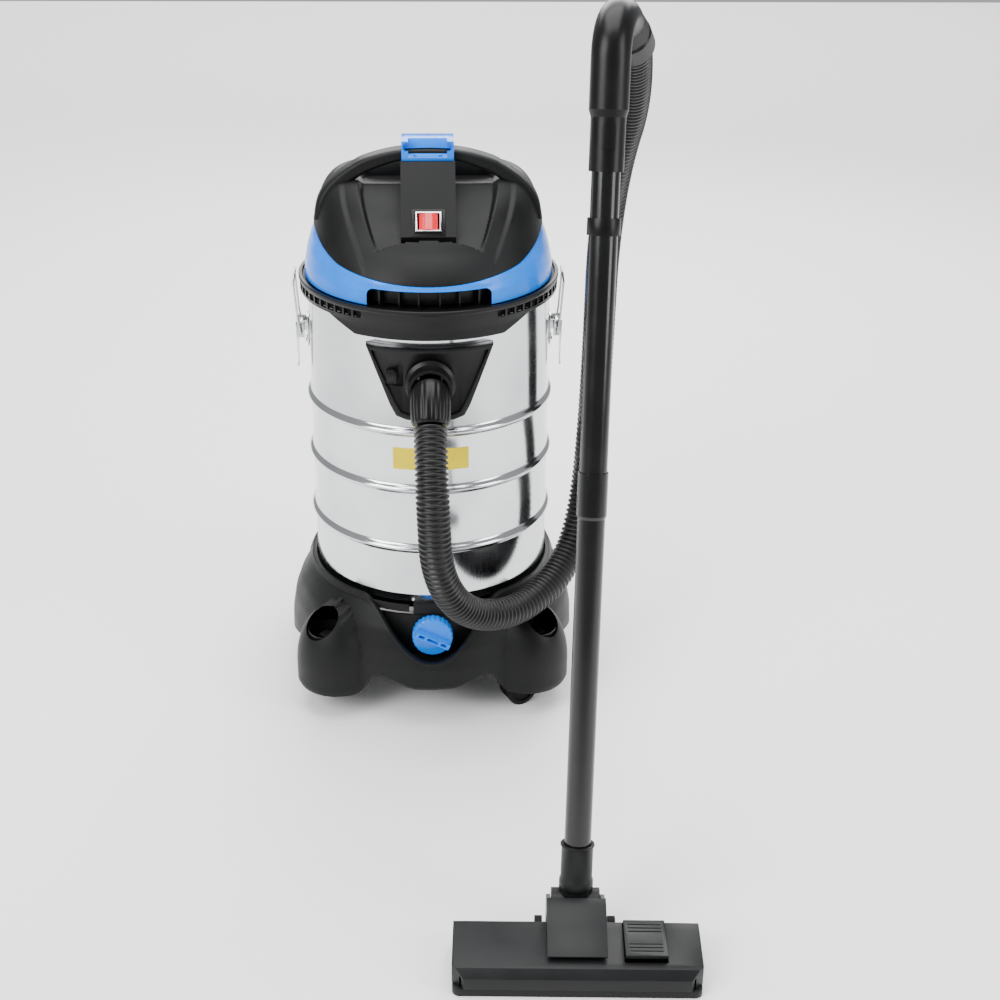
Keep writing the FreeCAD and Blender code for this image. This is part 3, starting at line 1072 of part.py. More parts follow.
def hose_tube(route, radius):
    """Straight runs joined by tangent arcs, as wide as their runs allow."""
    spots = [Vector(*spot) for spot in route]
    edges = []
    start = spots[0]
    for before, corner, after in zip(spots, spots[1:], spots[2:]):
        inward = (corner - before).normalize()
        outward = (after - corner).normalize()
        half_turn = inward.getAngle(outward) / 2
        reach = 0.45 * min((corner - before).Length, (after - corner).Length)
        bend_radius = reach / math.tan(half_turn)
        print(f"hose bend: radius {bend_radius:.0f}, turn {math.degrees(2 * half_turn):.0f} degrees")
        arc_start = corner - inward * reach
        arc_end = corner + outward * reach
        middle = corner + (outward - inward).normalize() * bend_radius * (1 / math.cos(half_turn) - 1)
        edges.append(Part.LineSegment(start, arc_start).toShape())
        edges.append(Part.Arc(arc_start, middle, arc_end).toShape())
        start = arc_end
    edges.append(Part.LineSegment(start, spots[-1]).toShape())
    path = Part.Wire(edges)
    section = Part.Wire(Part.makeCircle(radius, spots[0], spots[1] - spots[0]))
    tube = path.makePipeShell([section], True, False)
    expected = math.pi * radius ** 2 * path.Length
    print(f"hose: {path.Length:.0f} long, volume {tube.Volume / expected:.4f} of section times length")
    if abs(tube.Volume / expected - 1) > 0.01:
        raise RuntimeError("hose tube has the wrong volume")
    return tube


finished(feature("hose", hose_tube(HOSE_ROUTE, float(dim.hose_radius))), "hose")
print("inlet cuff ends at", [round(v, 1) for v in inlet_end], "heading",
      [round(v, 3) for v in inlet_heading])
print("handle cuff ends at", [round(v, 1) for v in cuff_end], "heading", [round(v, 3) for v in cuff_heading])


# ---- placing and writing ---------------------------------------------------------------------

CORD_LABELS = ("hose", "hose_cuff_inlet", "hose_cuff_handle")


def settle(origin_x, origin_y):
    """Place every piece, with the frame's origin on the floor at the given spot."""
    for piece in pieces:
        spot, turn = placed.get(piece.Label, ((0.0, 0.0, 0.0), Rotation()))
        put(piece, (spot[0] - origin_x, spot[1] - origin_y, spot[2]), turn)
    doc.recompute()


def whole_box():
    """The box of everything but the hose and its cuffs, measured on its own surfaces."""
    total = FreeCAD.BoundBox()
    for piece in pieces:
        if piece.Label not in CORD_LABELS:
            total.add(piece.Shape.optimalBoundingBox(False))
    return total


row = len(DRIVING_SIZES) + 2
for offset, alias in enumerate(("origin_x", "origin_y")):
    sheet.set(f"A{row + offset}", alias)
    sheet.set(f"B{row + offset}", "0")
    sheet.setAlias(f"B{row + offset}", alias)
doc.recompute()
settle(Size(0.0, "Sizes.origin_x"), Size(0.0, "Sizes.origin_y"))
measured = whole_box()
middle_x = round(measured.Center.x, 3)
middle_y = round(measured.Center.y, 3)
sheet.set(f"B{row}", str(middle_x))
sheet.set(f"B{row + 1}", str(middle_y))
doc.recompute()
settle(Size(middle_x, "Sizes.origin_x"), Size(middle_y, "Sizes.origin_y"))
print(f"origin at {middle_x}, {middle_y} from the drum's axis; lowest point {measured.ZMin:.3f}")
print(f"box {measured.XLength:.1f} x {measured.YLength:.1f} x {measured.ZLength:.1f}")

for thing in doc.Objects:
    if "Invalid" in thing.State or "Error" in thing.State:
        raise RuntimeError(f"{thing.Label} failed: {thing.State}")
os.makedirs("parts", exist_ok=True)
for piece in pieces:
    if piece.Shape.isNull() or not piece.Shape.isValid() or not piece.Shape.Solids:
        raise RuntimeError(f"{piece.Label} has no valid solid")
    piece.Shape.exportStep(f"parts/{piece.Label}.step")
print(f"{len(pieces)} sub-parts written")
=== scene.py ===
import math

import bmesh
import bpy
from mathutils import Matrix, Vector


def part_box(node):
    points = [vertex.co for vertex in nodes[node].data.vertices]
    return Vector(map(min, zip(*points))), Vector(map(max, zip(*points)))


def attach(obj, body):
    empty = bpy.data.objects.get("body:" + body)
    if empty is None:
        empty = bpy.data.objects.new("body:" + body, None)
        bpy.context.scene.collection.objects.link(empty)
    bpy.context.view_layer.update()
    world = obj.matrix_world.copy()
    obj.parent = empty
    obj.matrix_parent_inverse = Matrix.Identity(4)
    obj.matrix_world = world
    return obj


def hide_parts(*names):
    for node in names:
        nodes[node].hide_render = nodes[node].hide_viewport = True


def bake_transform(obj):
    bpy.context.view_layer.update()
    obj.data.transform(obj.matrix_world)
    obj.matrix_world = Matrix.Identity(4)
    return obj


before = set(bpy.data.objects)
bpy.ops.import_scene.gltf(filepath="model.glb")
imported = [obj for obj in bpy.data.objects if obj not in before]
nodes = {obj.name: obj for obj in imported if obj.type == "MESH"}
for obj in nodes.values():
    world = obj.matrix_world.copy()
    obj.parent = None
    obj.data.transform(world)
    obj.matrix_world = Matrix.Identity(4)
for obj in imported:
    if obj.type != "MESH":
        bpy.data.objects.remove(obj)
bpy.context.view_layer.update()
drumLow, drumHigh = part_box("drum")
axisX = (drumLow.x + drumHigh.x) / 2
axisY = (drumLow.y + drumHigh.y) / 2


def at(x, y, z):
    # millimetres about the drum's axis, floor at zero, to the frame's metres
    return Vector((axisX + x / 1000, axisY + y / 1000, z / 1000))


def nothingSelected():
    if bpy.context.object and bpy.context.object.mode != "OBJECT":
        bpy.ops.object.mode_set(mode="OBJECT")
    bpy.ops.object.select_all(action="DESELECT")


# ---- camera, light and floor
studio = {
    "cameraSpot": (-4.5, -2283.4, 1378.0), "lens": 61.2,
    "pitchDown": 26.1, "heading": -2.7, "roll": 0.57,
    "floorSize": 12.0, "floorColour": "F4F4F3",
    "keyPower": 95.0, "fillPower": 48.0, "topPower": 120.0, "backPower": 60.0,
    "sweepPower": 520.0, "worldStrength": 0.5,
}


def linear(hexColour):
    # sRGB hex to the linear colour a shader takes
    parts = [int(hexColour[i:i + 2], 16) / 255 for i in (0, 2, 4)]
    return tuple(p / 12.92 if p <= 0.04045 else ((p + 0.055) / 1.055) ** 2.4 for p in parts) + (1.0,)


def addNode(tree, kind, settings=None, inputs=None):
    # a node with its settings; an input takes a value or another node's output
    node = tree.nodes.new(kind)
    for name, value in (settings or {}).items():
        setattr(node, name, value)
    for name, value in (inputs or {}).items():
        if isinstance(value, bpy.types.NodeSocket):
            tree.links.new(value, node.inputs[name])
        else:
            node.inputs[name].default_value = value
    return node


def addCamera():
    camera = bpy.data.objects.new("camera", bpy.data.cameras.new("camera"))
    bpy.context.scene.collection.objects.link(camera)
    camera.data.lens = studio["lens"]
    camera.data.sensor_width = 36.0
    turn = (Matrix.Rotation(math.radians(studio["heading"]), 4, "Z")
            @ Matrix.Rotation(math.radians(90 - studio["pitchDown"]), 4, "X")
            @ Matrix.Rotation(math.radians(studio["roll"]), 4, "Z"))
    camera.matrix_world = Matrix.Translation(at(*studio["cameraSpot"])) @ turn
    bpy.context.scene.camera = camera


def addSoftbox(name, spot, target, size, power):
    light = bpy.data.objects.new(name, bpy.data.lights.new(name, "AREA"))
    bpy.context.scene.collection.objects.link(light)
    light.data.shape = "RECTANGLE"
    light.data.size, light.data.size_y = size
    light.data.energy = power
    light.location = spot
    light.rotation_euler = (Vector(target) - Vector(spot)).to_track_quat("-Z", "Y").to_euler()


addCamera()
middle = Vector((0, 0, 0.5))
addSoftbox("keyLight", (-1.9, -1.6, 2.1), middle, (1.6, 1.9), studio["keyPower"])
addSoftbox("fillLight", (2.3, -1.3, 1.5), middle, (1.0, 2.0), studio["fillPower"])
addSoftbox("topLight", (0.0, 0.1, 3.0), middle, (2.4, 2.4), studio["topPower"])
addSoftbox("backLight", (0.4, 2.6, 1.9), middle, (2.6, 1.2), studio["backPower"])
addSoftbox("sweepLight", (0.0, 5.5, 4.0), (0.0, 5.5, 0.0), (8.0, 5.0), studio["sweepPower"])
world = bpy.data.worlds.new("studio")
bpy.context.scene.world = world
world.use_nodes = True
world.node_tree.nodes["Background"].inputs["Color"].default_value = linear("F2F4F6")
world.node_tree.nodes["Background"].inputs["Strength"].default_value = studio["worldStrength"]

nothingSelected()
bpy.ops.mesh.primitive_plane_add(size=studio["floorSize"], location=(0, 0, 0))
floor = bpy.context.object
floor.name = "floor"
paper = bpy.data.materials.new("seamlessPaper")
paper.use_nodes = True
paperShader = paper.node_tree.nodes["Principled BSDF"]
paperShader.inputs["Base Color"].default_value = linear(studio["floorColour"])
paperShader.inputs["Roughness"].default_value = 0.9
floor.data.materials.append(paper)
print("camera, light and floor are set")

# ---- suction hose: ribbed plastic, from the inlet's cuff to the wand's cuff
hoseSizes = {
    "route": [
        (0.0, -242.8, 483.8), (0.0, -265.5, 458.5), (0.5, -282.7, 428.0), (2.0, -294.7, 388.8),
        (6.0, -299.0, 288.9), (48.4, -253.7, 203.5), (126.0, -190.0, 174.0), (196.0, -115.0, 206.0),
        (225.0, -62.0, 288.9), (234.0, -50.0, 420.0), (237.0, -50.0, 550.0), (236.0, -73.0, 677.0),
        (240.0, -141.0, 807.0), (252.0, -234.4, 918.4), (234.4, -323.6, 991.7),
    ],
    "diameter": 0.045, "ribPitch": 0.0074, "around": 28,
    # share of the pitch, radius
    "rib": [(0.0, 0.0194), (0.14, 0.0197), (0.27, 0.0214), (0.38, 0.0224), (0.5, 0.0225),
            (0.62, 0.0224), (0.73, 0.0214), (0.86, 0.0197)],
}


def splinePoints(route):
    # the smooth line of a NURBS spline whose control points are the route
    curve = bpy.data.curves.new("hoseLine", "CURVE")
    curve.dimensions = "3D"
    spline = curve.splines.new("NURBS")
    spline.points.add(len(route) - 1)
    for point, spot in zip(spline.points, route):
        point.co = (*at(*spot), 1.0)
    spline.order_u = 3
    spline.use_endpoint_u = True
    spline.resolution_u = 40
    line = bpy.data.objects.new("hoseLine", curve)
    bpy.context.scene.collection.objects.link(line)
    mesh = bpy.data.meshes.new_from_object(line)
    points = [v.co.copy() for v in mesh.vertices]
    bpy.data.objects.remove(line)
    return points


def evenPoints(points, step):
    # the same line, walked in equal steps
    total = sum((b - a).length for a, b in zip(points, points[1:]))
    count = round(total / step)
    step = total / count
    walked = [points[0]]
    travelled, target = 0.0, step
    for a, b in zip(points, points[1:]):
        run = (b - a).length
        while run and travelled + run >= target - 1e-9 and len(walked) < count + 1:
            walked.append(a.lerp(b, (target - travelled) / run))
            target += step
        travelled += run
    if len(walked) < count + 1:
        walked.append(points[-1])
    return walked, total


def sweptMesh(name, points, radii, around):
    # a tube about the points, each with its own radius, its ring turned as little as it can be
    mesh = bmesh.new()
    along = mesh.verts.layers.float.new("along")
    heading = (points[1] - points[0]).normalized()
    side = heading.orthogonal().normalized()
    rings = []
    travelled = 0.0
    for index, (spot, radius) in enumerate(zip(points, radii)):
        before, after = points[max(index - 1, 0)], points[min(index + 1, len(points) - 1)]
        newHeading = (after - before).normalized()
        side = heading.rotation_difference(newHeading) @ side
        heading = newHeading
        other = heading.cross(side)
        if index:
            travelled += (spot - points[index - 1]).length
        ring = []
        for step in range(around):
            angle = 2 * math.pi * step / around
            vertex = mesh.verts.new(spot + (side * math.cos(angle) + other * math.sin(angle)) * radius)
            vertex[along] = travelled
            ring.append(vertex)
        rings.append(ring)
    for ring, nextRing in zip(rings, rings[1:]):
        for step in range(around):
            after = (step + 1) % around
            mesh.faces.new((ring[step], ring[after], nextRing[after], nextRing[step]))
    mesh.faces.new(rings[0][::-1])
    mesh.faces.new(rings[-1])
    data = bpy.data.meshes.new(name)
    bmesh.ops.recalc_face_normals(mesh, faces=mesh.faces)
    mesh.to_mesh(data)
    piece = bpy.data.objects.new(name, data)
    bpy.context.scene.collection.objects.link(piece)
    data.shade_smooth()
    return piece


def makeHose():
    line = splinePoints(hoseSizes["route"])
    ribs = hoseSizes["rib"]
    ribSpots, total = evenPoints(line, hoseSizes["ribPitch"])
    points, radii = [], []
    for a, b in zip(ribSpots, ribSpots[1:]):
        for share, radius in ribs:
            points.append(a.lerp(b, share))
            radii.append(radius)
    points.append(ribSpots[-1])
    radii.append(ribs[0][1])
    hose = sweptMesh("ribbedHose", points, radii, hoseSizes["around"])
    print(f"hose spline {total:.3f} m, {len(ribSpots) - 1} ribs")
    return hose, ribSpots, total


ribbedHose, hoseLine, hoseRun = makeHose()
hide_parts("hose")
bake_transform(ribbedHose)
print("the hose hangs from inlet to wand")

# ---- materials
finishes = {}


def newMaterial(name, colour, roughness, metallic=0.0, **more):
    # a principled shader; what varies over the surface is linked afterwards
    material = bpy.data.materials.new(name)
    material.use_nodes = True
    shader = material.node_tree.nodes["Principled BSDF"]
    shader.inputs["Base Color"].default_value = linear(colour)
    shader.inputs["Roughness"].default_value = roughness
    shader.inputs["Metallic"].default_value = metallic
    for key, value in more.items():
        shader.inputs[key.replace("_", " ")].default_value = value
    finishes[name] = material
    return material, material.node_tree, shader


def surfaceDetail(material, colours, spread, rough, grainMm, grainDepth, broadMm=60.0, stretch=(1, 1, 1)):
    # broad colour and gloss variation, and a fine moulded or drawn grain as bump
    tree = material.node_tree
    shader = tree.nodes["Principled BSDF"]
    place = addNode(tree, "ShaderNodeTexCoord")
    mapped = addNode(tree, "ShaderNodeMapping", inputs={"Vector": place.outputs["Object"], "Scale": stretch})
    broad = addNode(tree, "ShaderNodeTexNoise", inputs={
        "Vector": place.outputs["Object"], "Scale": 1000 / broadMm, "Detail": 3.0, "Roughness": 0.55})
    ramp = addNode(tree, "ShaderNodeValToRGB", inputs={"Fac": broad.outputs["Fac"]})
    ramp.color_ramp.elements[0].position = 0.5 - spread
    ramp.color_ramp.elements[0].color = linear(colours[0])
    ramp.color_ramp.elements[1].position = 0.5 + spread
    ramp.color_ramp.elements[1].color = linear(colours[1])
    tree.links.new(ramp.outputs["Color"], shader.inputs["Base Color"])
    grain = addNode(tree, "ShaderNodeTexNoise", inputs={
        "Vector": mapped.outputs["Vector"], "Scale": 1000 / grainMm, "Detail": 2.0})
    shine = addNode(tree, "ShaderNodeMapRange", inputs={
        "Value": broad.outputs["Fac"], "From Min": 0.3, "From Max": 0.7,
        "To Min": rough[0], "To Max": rough[1]})
    tree.links.new(shine.outputs["Result"], shader.inputs["Roughness"])
    bump = addNode(tree, "ShaderNodeBump", inputs={
        "Height": grain.outputs["Fac"], "Strength": 0.5, "Distance": grainDepth / 1000})
    tree.links.new(bump.outputs["Normal"], shader.inputs["Normal"])
    return tree, shader


def makeMaterials():
    # mirror-rolled stainless sheet: bright and clear, with the slight lengthwise draw of rolling
    surfaceDetail(newMaterial("mirrorStainless", "D2D4D6", 0.14, 1.0)[0], ("C9CBCE", "D8DADC"), 0.2,
                  (0.10, 0.17), 9.0, 0.02, 90.0, (1.0, 1.0, 0.25))
    # ABS moulded in a spark-eroded tool: a soft sheen broken by a fine even grain
    surfaceDetail(newMaterial("grainedAbs", "0C0C0D", 0.5, IOR=1.5, Specular_IOR_Level=0.2)[0],
                  ("09090A", "0F1011"), 0.2, (0.42, 0.56), 1.1, 0.09, 70.0)
    # ABS from a plainer tool: smoother, with longer highlights
    surfaceDetail(newMaterial("satinAbs", "09090A", 0.36, IOR=1.5, Specular_IOR_Level=0.22)[0],
                  ("070708", "0C0C0D"), 0.2, (0.30, 0.40), 1.4, 0.03, 60.0)
    # ABS polished in the tool, blue right through: clear highlights, faint flow marks
    surfaceDetail(newMaterial("glossBlueAbs", "0076E6", 0.2, IOR=1.5, Specular_IOR_Level=0.25)[0],
                  ("006EDA", "007EF0"), 0.25, (0.14, 0.22), 3.0, 0.012, 80.0)
    # printed polyester film
    surfaceDetail(newMaterial("yellowFilm", "DCC400", 0.3, IOR=1.5, Specular_IOR_Level=0.2)[0],
                  ("D6BC00", "E0CA00"), 0.25, (0.26, 0.34), 2.0, 0.01, 30.0)
    # pressed and plated steel of the clips
    surfaceDetail(newMaterial("pressedSteel", "C4C5C6", 0.22, 1.0)[0], ("B4B6B8", "D0D1D2"), 0.2,
                  (0.16, 0.30), 2.4, 0.02, 18.0, (1.0, 1.0, 0.3))
    surfaceDetail(newMaterial("zincPlate", "A9ABAD", 0.32, 1.0)[0], ("9EA0A3", "B5B7B9"), 0.2,
                  (0.28, 0.38), 1.5, 0.02, 12.0)
    # nitrile rubber: dull, faintly bloomed
    surfaceDetail(newMaterial("softRubber", "0C0C0D", 0.7, IOR=1.5, Specular_IOR_Level=0.2)[0],
                  ("09090A", "101011"), 0.2, (0.62, 0.75), 0.9, 0.03, 20.0)
    # powder coat on steel tube: gloss with a faint orange peel
    surfaceDetail(newMaterial("powderCoat", "050506", 0.2, IOR=1.5, Specular_IOR_Level=0.45)[0],
                  ("040405", "070708"), 0.2, (0.18, 0.26), 2.2, 0.015, 50.0)
    # polyethylene hose: waxy black
    surfaceDetail(newMaterial("hosePlastic", "060607", 0.3, IOR=1.5, Specular_IOR_Level=0.4)[0],
                  ("040405", "09090A"), 0.2, (0.30, 0.42), 1.6, 0.02, 40.0)
    # dark grey polypropylene of the floor tool and fittings
    surfaceDetail(newMaterial("greyPolypropylene", "101112", 0.45, IOR=1.5, Specular_IOR_Level=0.25)[0],
                  ("0D0E0F", "141516"), 0.2, (0.40, 0.52), 1.0, 0.06, 60.0)
    # tinted polycarbonate switch cap, lit through by its lamp
    red = newMaterial("litRedCap", "D00818", 0.2, IOR=1.55, Transmission_Weight=0.25, Coat_Weight=0.5,
                      Emission_Strength=0.35)
    red[2].inputs["Emission Color"].default_value = linear("FF2A45")
    surfaceDetail(red[0], ("C00010", "D81020"), 0.2, (0.16, 0.24), 2.0, 0.01, 12.0)
    # chromium plate on the switch's bezel
    surfaceDetail(newMaterial("chromePlate", "DCDDDF", 0.08, 1.0)[0], ("D6D7D9", "E4E5E6"), 0.2,
                  (0.05, 0.10), 3.0, 0.004, 15.0)
    # laminated iron and varnished windings
    surfaceDetail(newMaterial("motorIron", "55504A", 0.5, 0.8)[0], ("4A4642", "625C55"), 0.2,
                  (0.42, 0.6), 1.2, 0.1, 15.0, (0.2, 0.2, 3.0))
    surfaceDetail(newMaterial("pressedAluminium", "C8CACC", 0.3, 1.0)[0], ("BEC0C3", "D2D4D6"), 0.2,
                  (0.25, 0.36), 1.0, 0.02, 20.0)
    # needled polyester of the filter
    surfaceDetail(newMaterial("filterCloth", "DAD7CC", 0.9, Sheen_Weight=0.3)[0], ("CFCBBE", "E4E1D8"), 0.2,
                  (0.85, 0.95), 1.8, 0.4, 14.0)
    surfaceDetail(newMaterial("brushNylon", "0C0C0D", 0.6, IOR=1.5, Specular_IOR_Level=0.2)[0],
                  ("09090A", "121213"), 0.2, (0.5, 0.7), 0.8, 0.4, 8.0, (1.0, 1.0, 0.08))


makeMaterials()
finishOf = {
    "mirrorStainless": ["drum"],
    "yellowFilm": ["drum_label"],
    "grainedAbs": ["base", "motor_cover", "carry_handle", "console", "drain_housing", "lid_pan",
                   "filter_cage", "float_cup", "blower_port"],
    "satinAbs": ["lid_ring", "inlet_plate", "inlet_catch", "inlet_socket", "switch_frame", "fan_housing",
                 "hose_cuff_inlet", "hose_cuff_handle", "wand_handle", "parking_clip", "bleed_slider"]
                + [name for name in nodes if name.startswith("caster_fork")],
    "glossBlueAbs": ["cowl", "handle_bracket", "drain_cap"],
    "pressedSteel": ["latch_brackets", "latch_lever_left", "latch_lever_right", "latch_bail_left",
                     "latch_bail_right"],
    "zincPlate": ["cover_screws", "caster_bushes"],
    "softRubber": ["lid_seal", "drain_seal", "cord_gland", "floor_rollers"]
                  + [name for name in nodes if name.startswith("caster_wheels")],
    "powderCoat": ["wand_tube_lower", "wand_tube_upper"],
    "greyPolypropylene": ["head_shell", "duct_cover", "sole_plate", "brush_pedal", "swivel_neck", "knuckle"],
    "litRedCap": ["switch_rocker"], "chromePlate": ["switch_bezel"],
    "motorIron": ["motor_body", "rotor_shaft"], "pressedAluminium": ["fan"], "filterCloth": ["filter_sleeve"],
    "brushNylon": ["brush_strips"],
}
for finishName, names in finishOf.items():
    for name in names:
        nodes[name].data.materials.clear()
        nodes[name].data.materials.append(finishes[finishName])
ribbedHose.data.materials.append(finishes["hosePlastic"])
print("every node has its finish")


# ---- how pieces are made and handed over
def newMesh(name, corners, faces=(), edges=()):
    mesh = bpy.data.meshes.new(name)
    mesh.from_pydata([tuple(c) for c in corners], list(edges), list(faces))
    mesh.update()
    piece = bpy.data.objects.new(name, mesh)
    bpy.context.scene.collection.objects.link(piece)
    makeActive(piece)
    return piece


def makeActive(piece):
    nothingSelected()
    piece.select_set(True)
    bpy.context.view_layer.objects.active = piece


def applied(piece, kind, **settings):
    # add a modifier and apply it
    makeActive(piece)
    modifier = piece.modifiers.new(kind.lower(), kind)
    for key, value in settings.items():
        setattr(modifier, key, value)
    bpy.ops.object.modifier_apply(modifier=modifier.name)


def outwards(piece, distance=1e-5):
    # merge what coincides and turn every face outwards
    makeActive(piece)
    bpy.ops.object.mode_set(mode="EDIT")
    bpy.ops.mesh.select_all(action="SELECT")
    bpy.ops.mesh.remove_doubles(threshold=distance)
    bpy.ops.mesh.normals_make_consistent(inside=False)
    bpy.ops.object.mode_set(mode="OBJECT")


def smoothed(piece, angle=32):
    makeActive(piece)
    bpy.ops.object.shade_smooth_by_angle(angle=math.radians(angle))


def handOver(piece, body, finishName, slotName, *replaced):
    piece.data.materials.clear()
    piece.data.materials.append(finishes[finishName])
    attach(piece, body)
    if replaced:
        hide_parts(*replaced)


def spun(name, profile, steps=128, centre=None, axis=(0, 0, 1), reach=(1, 0, 0)):
    # a (radius, height) outline in millimetres, spun round an axis through the centre
    centre = centre or at(0, 0, 0)
    axis, reach = Vector(axis), Vector(reach)
    spots = [centre + reach * (r / 1000) + axis * (h / 1000) for r, h in profile]
    count = len(spots)
    piece = newMesh(name, spots, edges=[(i, (i + 1) % count) for i in range(count)])
    bpy.ops.object.mode_set(mode="EDIT")
    bpy.ops.mesh.select_all(action="SELECT")
    bpy.ops.mesh.spin(steps=steps, angle=2 * math.pi, center=tuple(centre), axis=tuple(axis),
                      use_auto_merge=True)
    bpy.ops.object.mode_set(mode="OBJECT")
    outwards(piece)
    return piece


def ringedMesh(name, rings, capFirst=False, capLast=False):
    # rings of points, joined one to the next
    around = len(rings[0])
    corners = [p for ring in rings for p in ring]
    faces = []
    for row in range(len(rings) - 1):
        for step in range(around):
            after = (step + 1) % around
            a, b = row * around, (row + 1) * around
            faces.append((a + step, a + after, b + after, b + step))
    if capFirst:
        faces.append(tuple(range(around))[::-1])
    if capLast:
        faces.append(tuple((len(rings) - 1) * around + step for step in range(around)))
    piece = newMesh(name, corners, faces)
    outwards(piece)
    return piece


def softened(name, node, body, finishName, slotName, width=0.8, segments=2, angle=35, flat=1.0):
    # a CAD solid's own shape with its moulded edges rounded
    piece = nodes[node].copy()
    piece.data = nodes[node].data.copy()
    piece.parent = None
    for key in list(piece.keys()):
        del piece[key]
    piece.name = name
    bpy.context.scene.collection.objects.link(piece)
    piece.matrix_world = Matrix.Identity(4)
    makeActive(piece)
    bpy.ops.object.mode_set(mode="EDIT")
    bpy.ops.mesh.select_all(action="SELECT")
    bpy.ops.mesh.remove_doubles(threshold=2e-5)
    bpy.ops.mesh.customdata_custom_splitnormals_clear()
    bpy.ops.mesh.dissolve_limited(angle_limit=math.radians(flat))
    bpy.ops.object.mode_set(mode="OBJECT")
    applied(piece, "BEVEL", width=width / 1000, segments=segments, limit_method="ANGLE",
            angle_limit=math.radians(angle), use_clamp_overlap=True, harden_normals=False)
    smoothed(piece, 40)
    handOver(piece, body, finishName, slotName, node)
    return piece


def between(value, low, high):
    # 0 below low, 1 above high, smooth between
    share = min(max((value - low) / (high - low), 0.0), 1.0)
    return share * share * (3 - 2 * share)


def stations(rows, value):
    # smooth (Catmull-Rom) reading of a table of rows at a place counted in rows
    low = min(int(value), len(rows) - 2)
    t = value - low
    quad = [rows[min(max(low + k, 0), len(rows) - 1)] for k in (-1, 0, 1, 2)]
    return [0.5 * ((2 * b) + (c - a) * t + (2 * a - 5 * b + 4 * c - d) * t * t
                   + (3 * b - a - 3 * c + d) * t ** 3)
            for a, b, c, d in zip(*quad)]


# ---- drum: one sheet of stainless with three rolled beads
drumSizes = {"radius": 170.0, "wall": 1.2, "bottom": 178.0, "top": 604.0, "beads": (266.0, 358.0, 444.0),
             "beadRise": 5.6, "beadHalf": 8.0, "rimRise": 4.0}


def makeDrum():
    s = drumSizes
    outer = [(s["radius"] - 4.0, s["bottom"]), (s["radius"] - 2.6, s["bottom"] + 4.0),
             (s["radius"] - 2.6, s["bottom"] + 10.0), (s["radius"] - 0.4, s["bottom"] + 13.0),
             (s["radius"], s["bottom"] + 15.0)]
    for middle in s["beads"]:
        for step in range(-6, 7):
            t = step / 6
            rise = s["beadRise"] * math.cos(math.pi * t / 2) ** 2
            outer.append((s["radius"] + rise, middle + t * s["beadHalf"]))
    outer += [(s["radius"], s["top"] - 10.0), (s["radius"] + 2.0, s["top"] - 9.0),
              (s["radius"] + s["rimRise"], s["top"] - 7.0), (s["radius"] + s["rimRise"], s["top"] - 2.0),
              (s["radius"] + 2.0, s["top"])]
    inner = [(r - s["wall"], h) for r, h in outer[5:-5]]
    inner = [(s["radius"] - 6.0, s["bottom"] + s["wall"])] + inner + [(s["radius"] - s["wall"], s["top"])]
    profile = [(0.0, s["bottom"])] + outer + inner[::-1] + [(0.0, s["bottom"] + s["wall"])]
    drum = spun("drumShell", profile, 160)
    smoothed(drum, 50)
    handOver(drum, "root", "mirrorStainless", "stainless", "drum")


makeDrum()
print("drum spun")

# ---- motor cover: black moulding with raised shoulders, a sunken front panel and a grip well
coverSizes = {
    "rows": [  # height, half width, reach to the front, reach to the rear, squareness
        (640.0, 170.6, 170.2, 170.6, 2.0), (652.0, 169.2, 167.5, 169.2, 2.0),
        (664.0, 166.5, 161.8, 166.0, 2.02), (676.0, 163.6, 154.0, 162.0, 2.06),
        (688.0, 160.2, 144.0, 157.0, 2.12), (700.0, 157.2, 133.5, 152.5, 2.2),
        (712.0, 154.0, 122.0, 147.0, 2.3), (724.0, 150.4, 109.0, 140.5, 2.4),
        (736.0, 145.6, 94.0, 132.0, 2.5), (747.0, 138.6, 77.0, 121.0, 2.6), (755.0, 129.0, 60.0, 108.0, 2.7),
        (758.5, 116.0, 46.0, 96.0, 2.7), (759.5, 104.0, 40.0, 86.0, 2.7)],
    "around": 400, "perRow": 6, "seamGap": 1.0,
    "panelFoot": (-116.0, 694.0), "panelTop": (-37.0, 752.0), "panelHalf": (71.0, 90.0),
    "creaseHalf": (84.0, 119.0), "creaseDepth": 4.2, "wellDepth": 17.0, "wellAbove": 752.0, "panelFall": 0.73,
    "wall": 3.0,
}
seamLine = [(-190.0, 646.0), (-168.0, 650.0), (-110.0, 664.0), (-50.0, 688.0), (0.0, 702.0), (60.0, 712.0),
            (190.0, 716.0)]


def seamHeight(y):
    for (y0, z0), (y1, z1) in zip(seamLine, seamLine[1:]):
        if y <= y1:
            return z0 + (z1 - z0) * (y - y0) / (y1 - y0)
    return seamLine[-1][1]


def wellShare(x, y):
    # 1 in the well under the carry handle, 0 outside it
    return (1 - between(abs(x), 84.0, 106.0)) * between(y, -37.0, -24.0) * (1 - between(y, 52.0, 84.0))


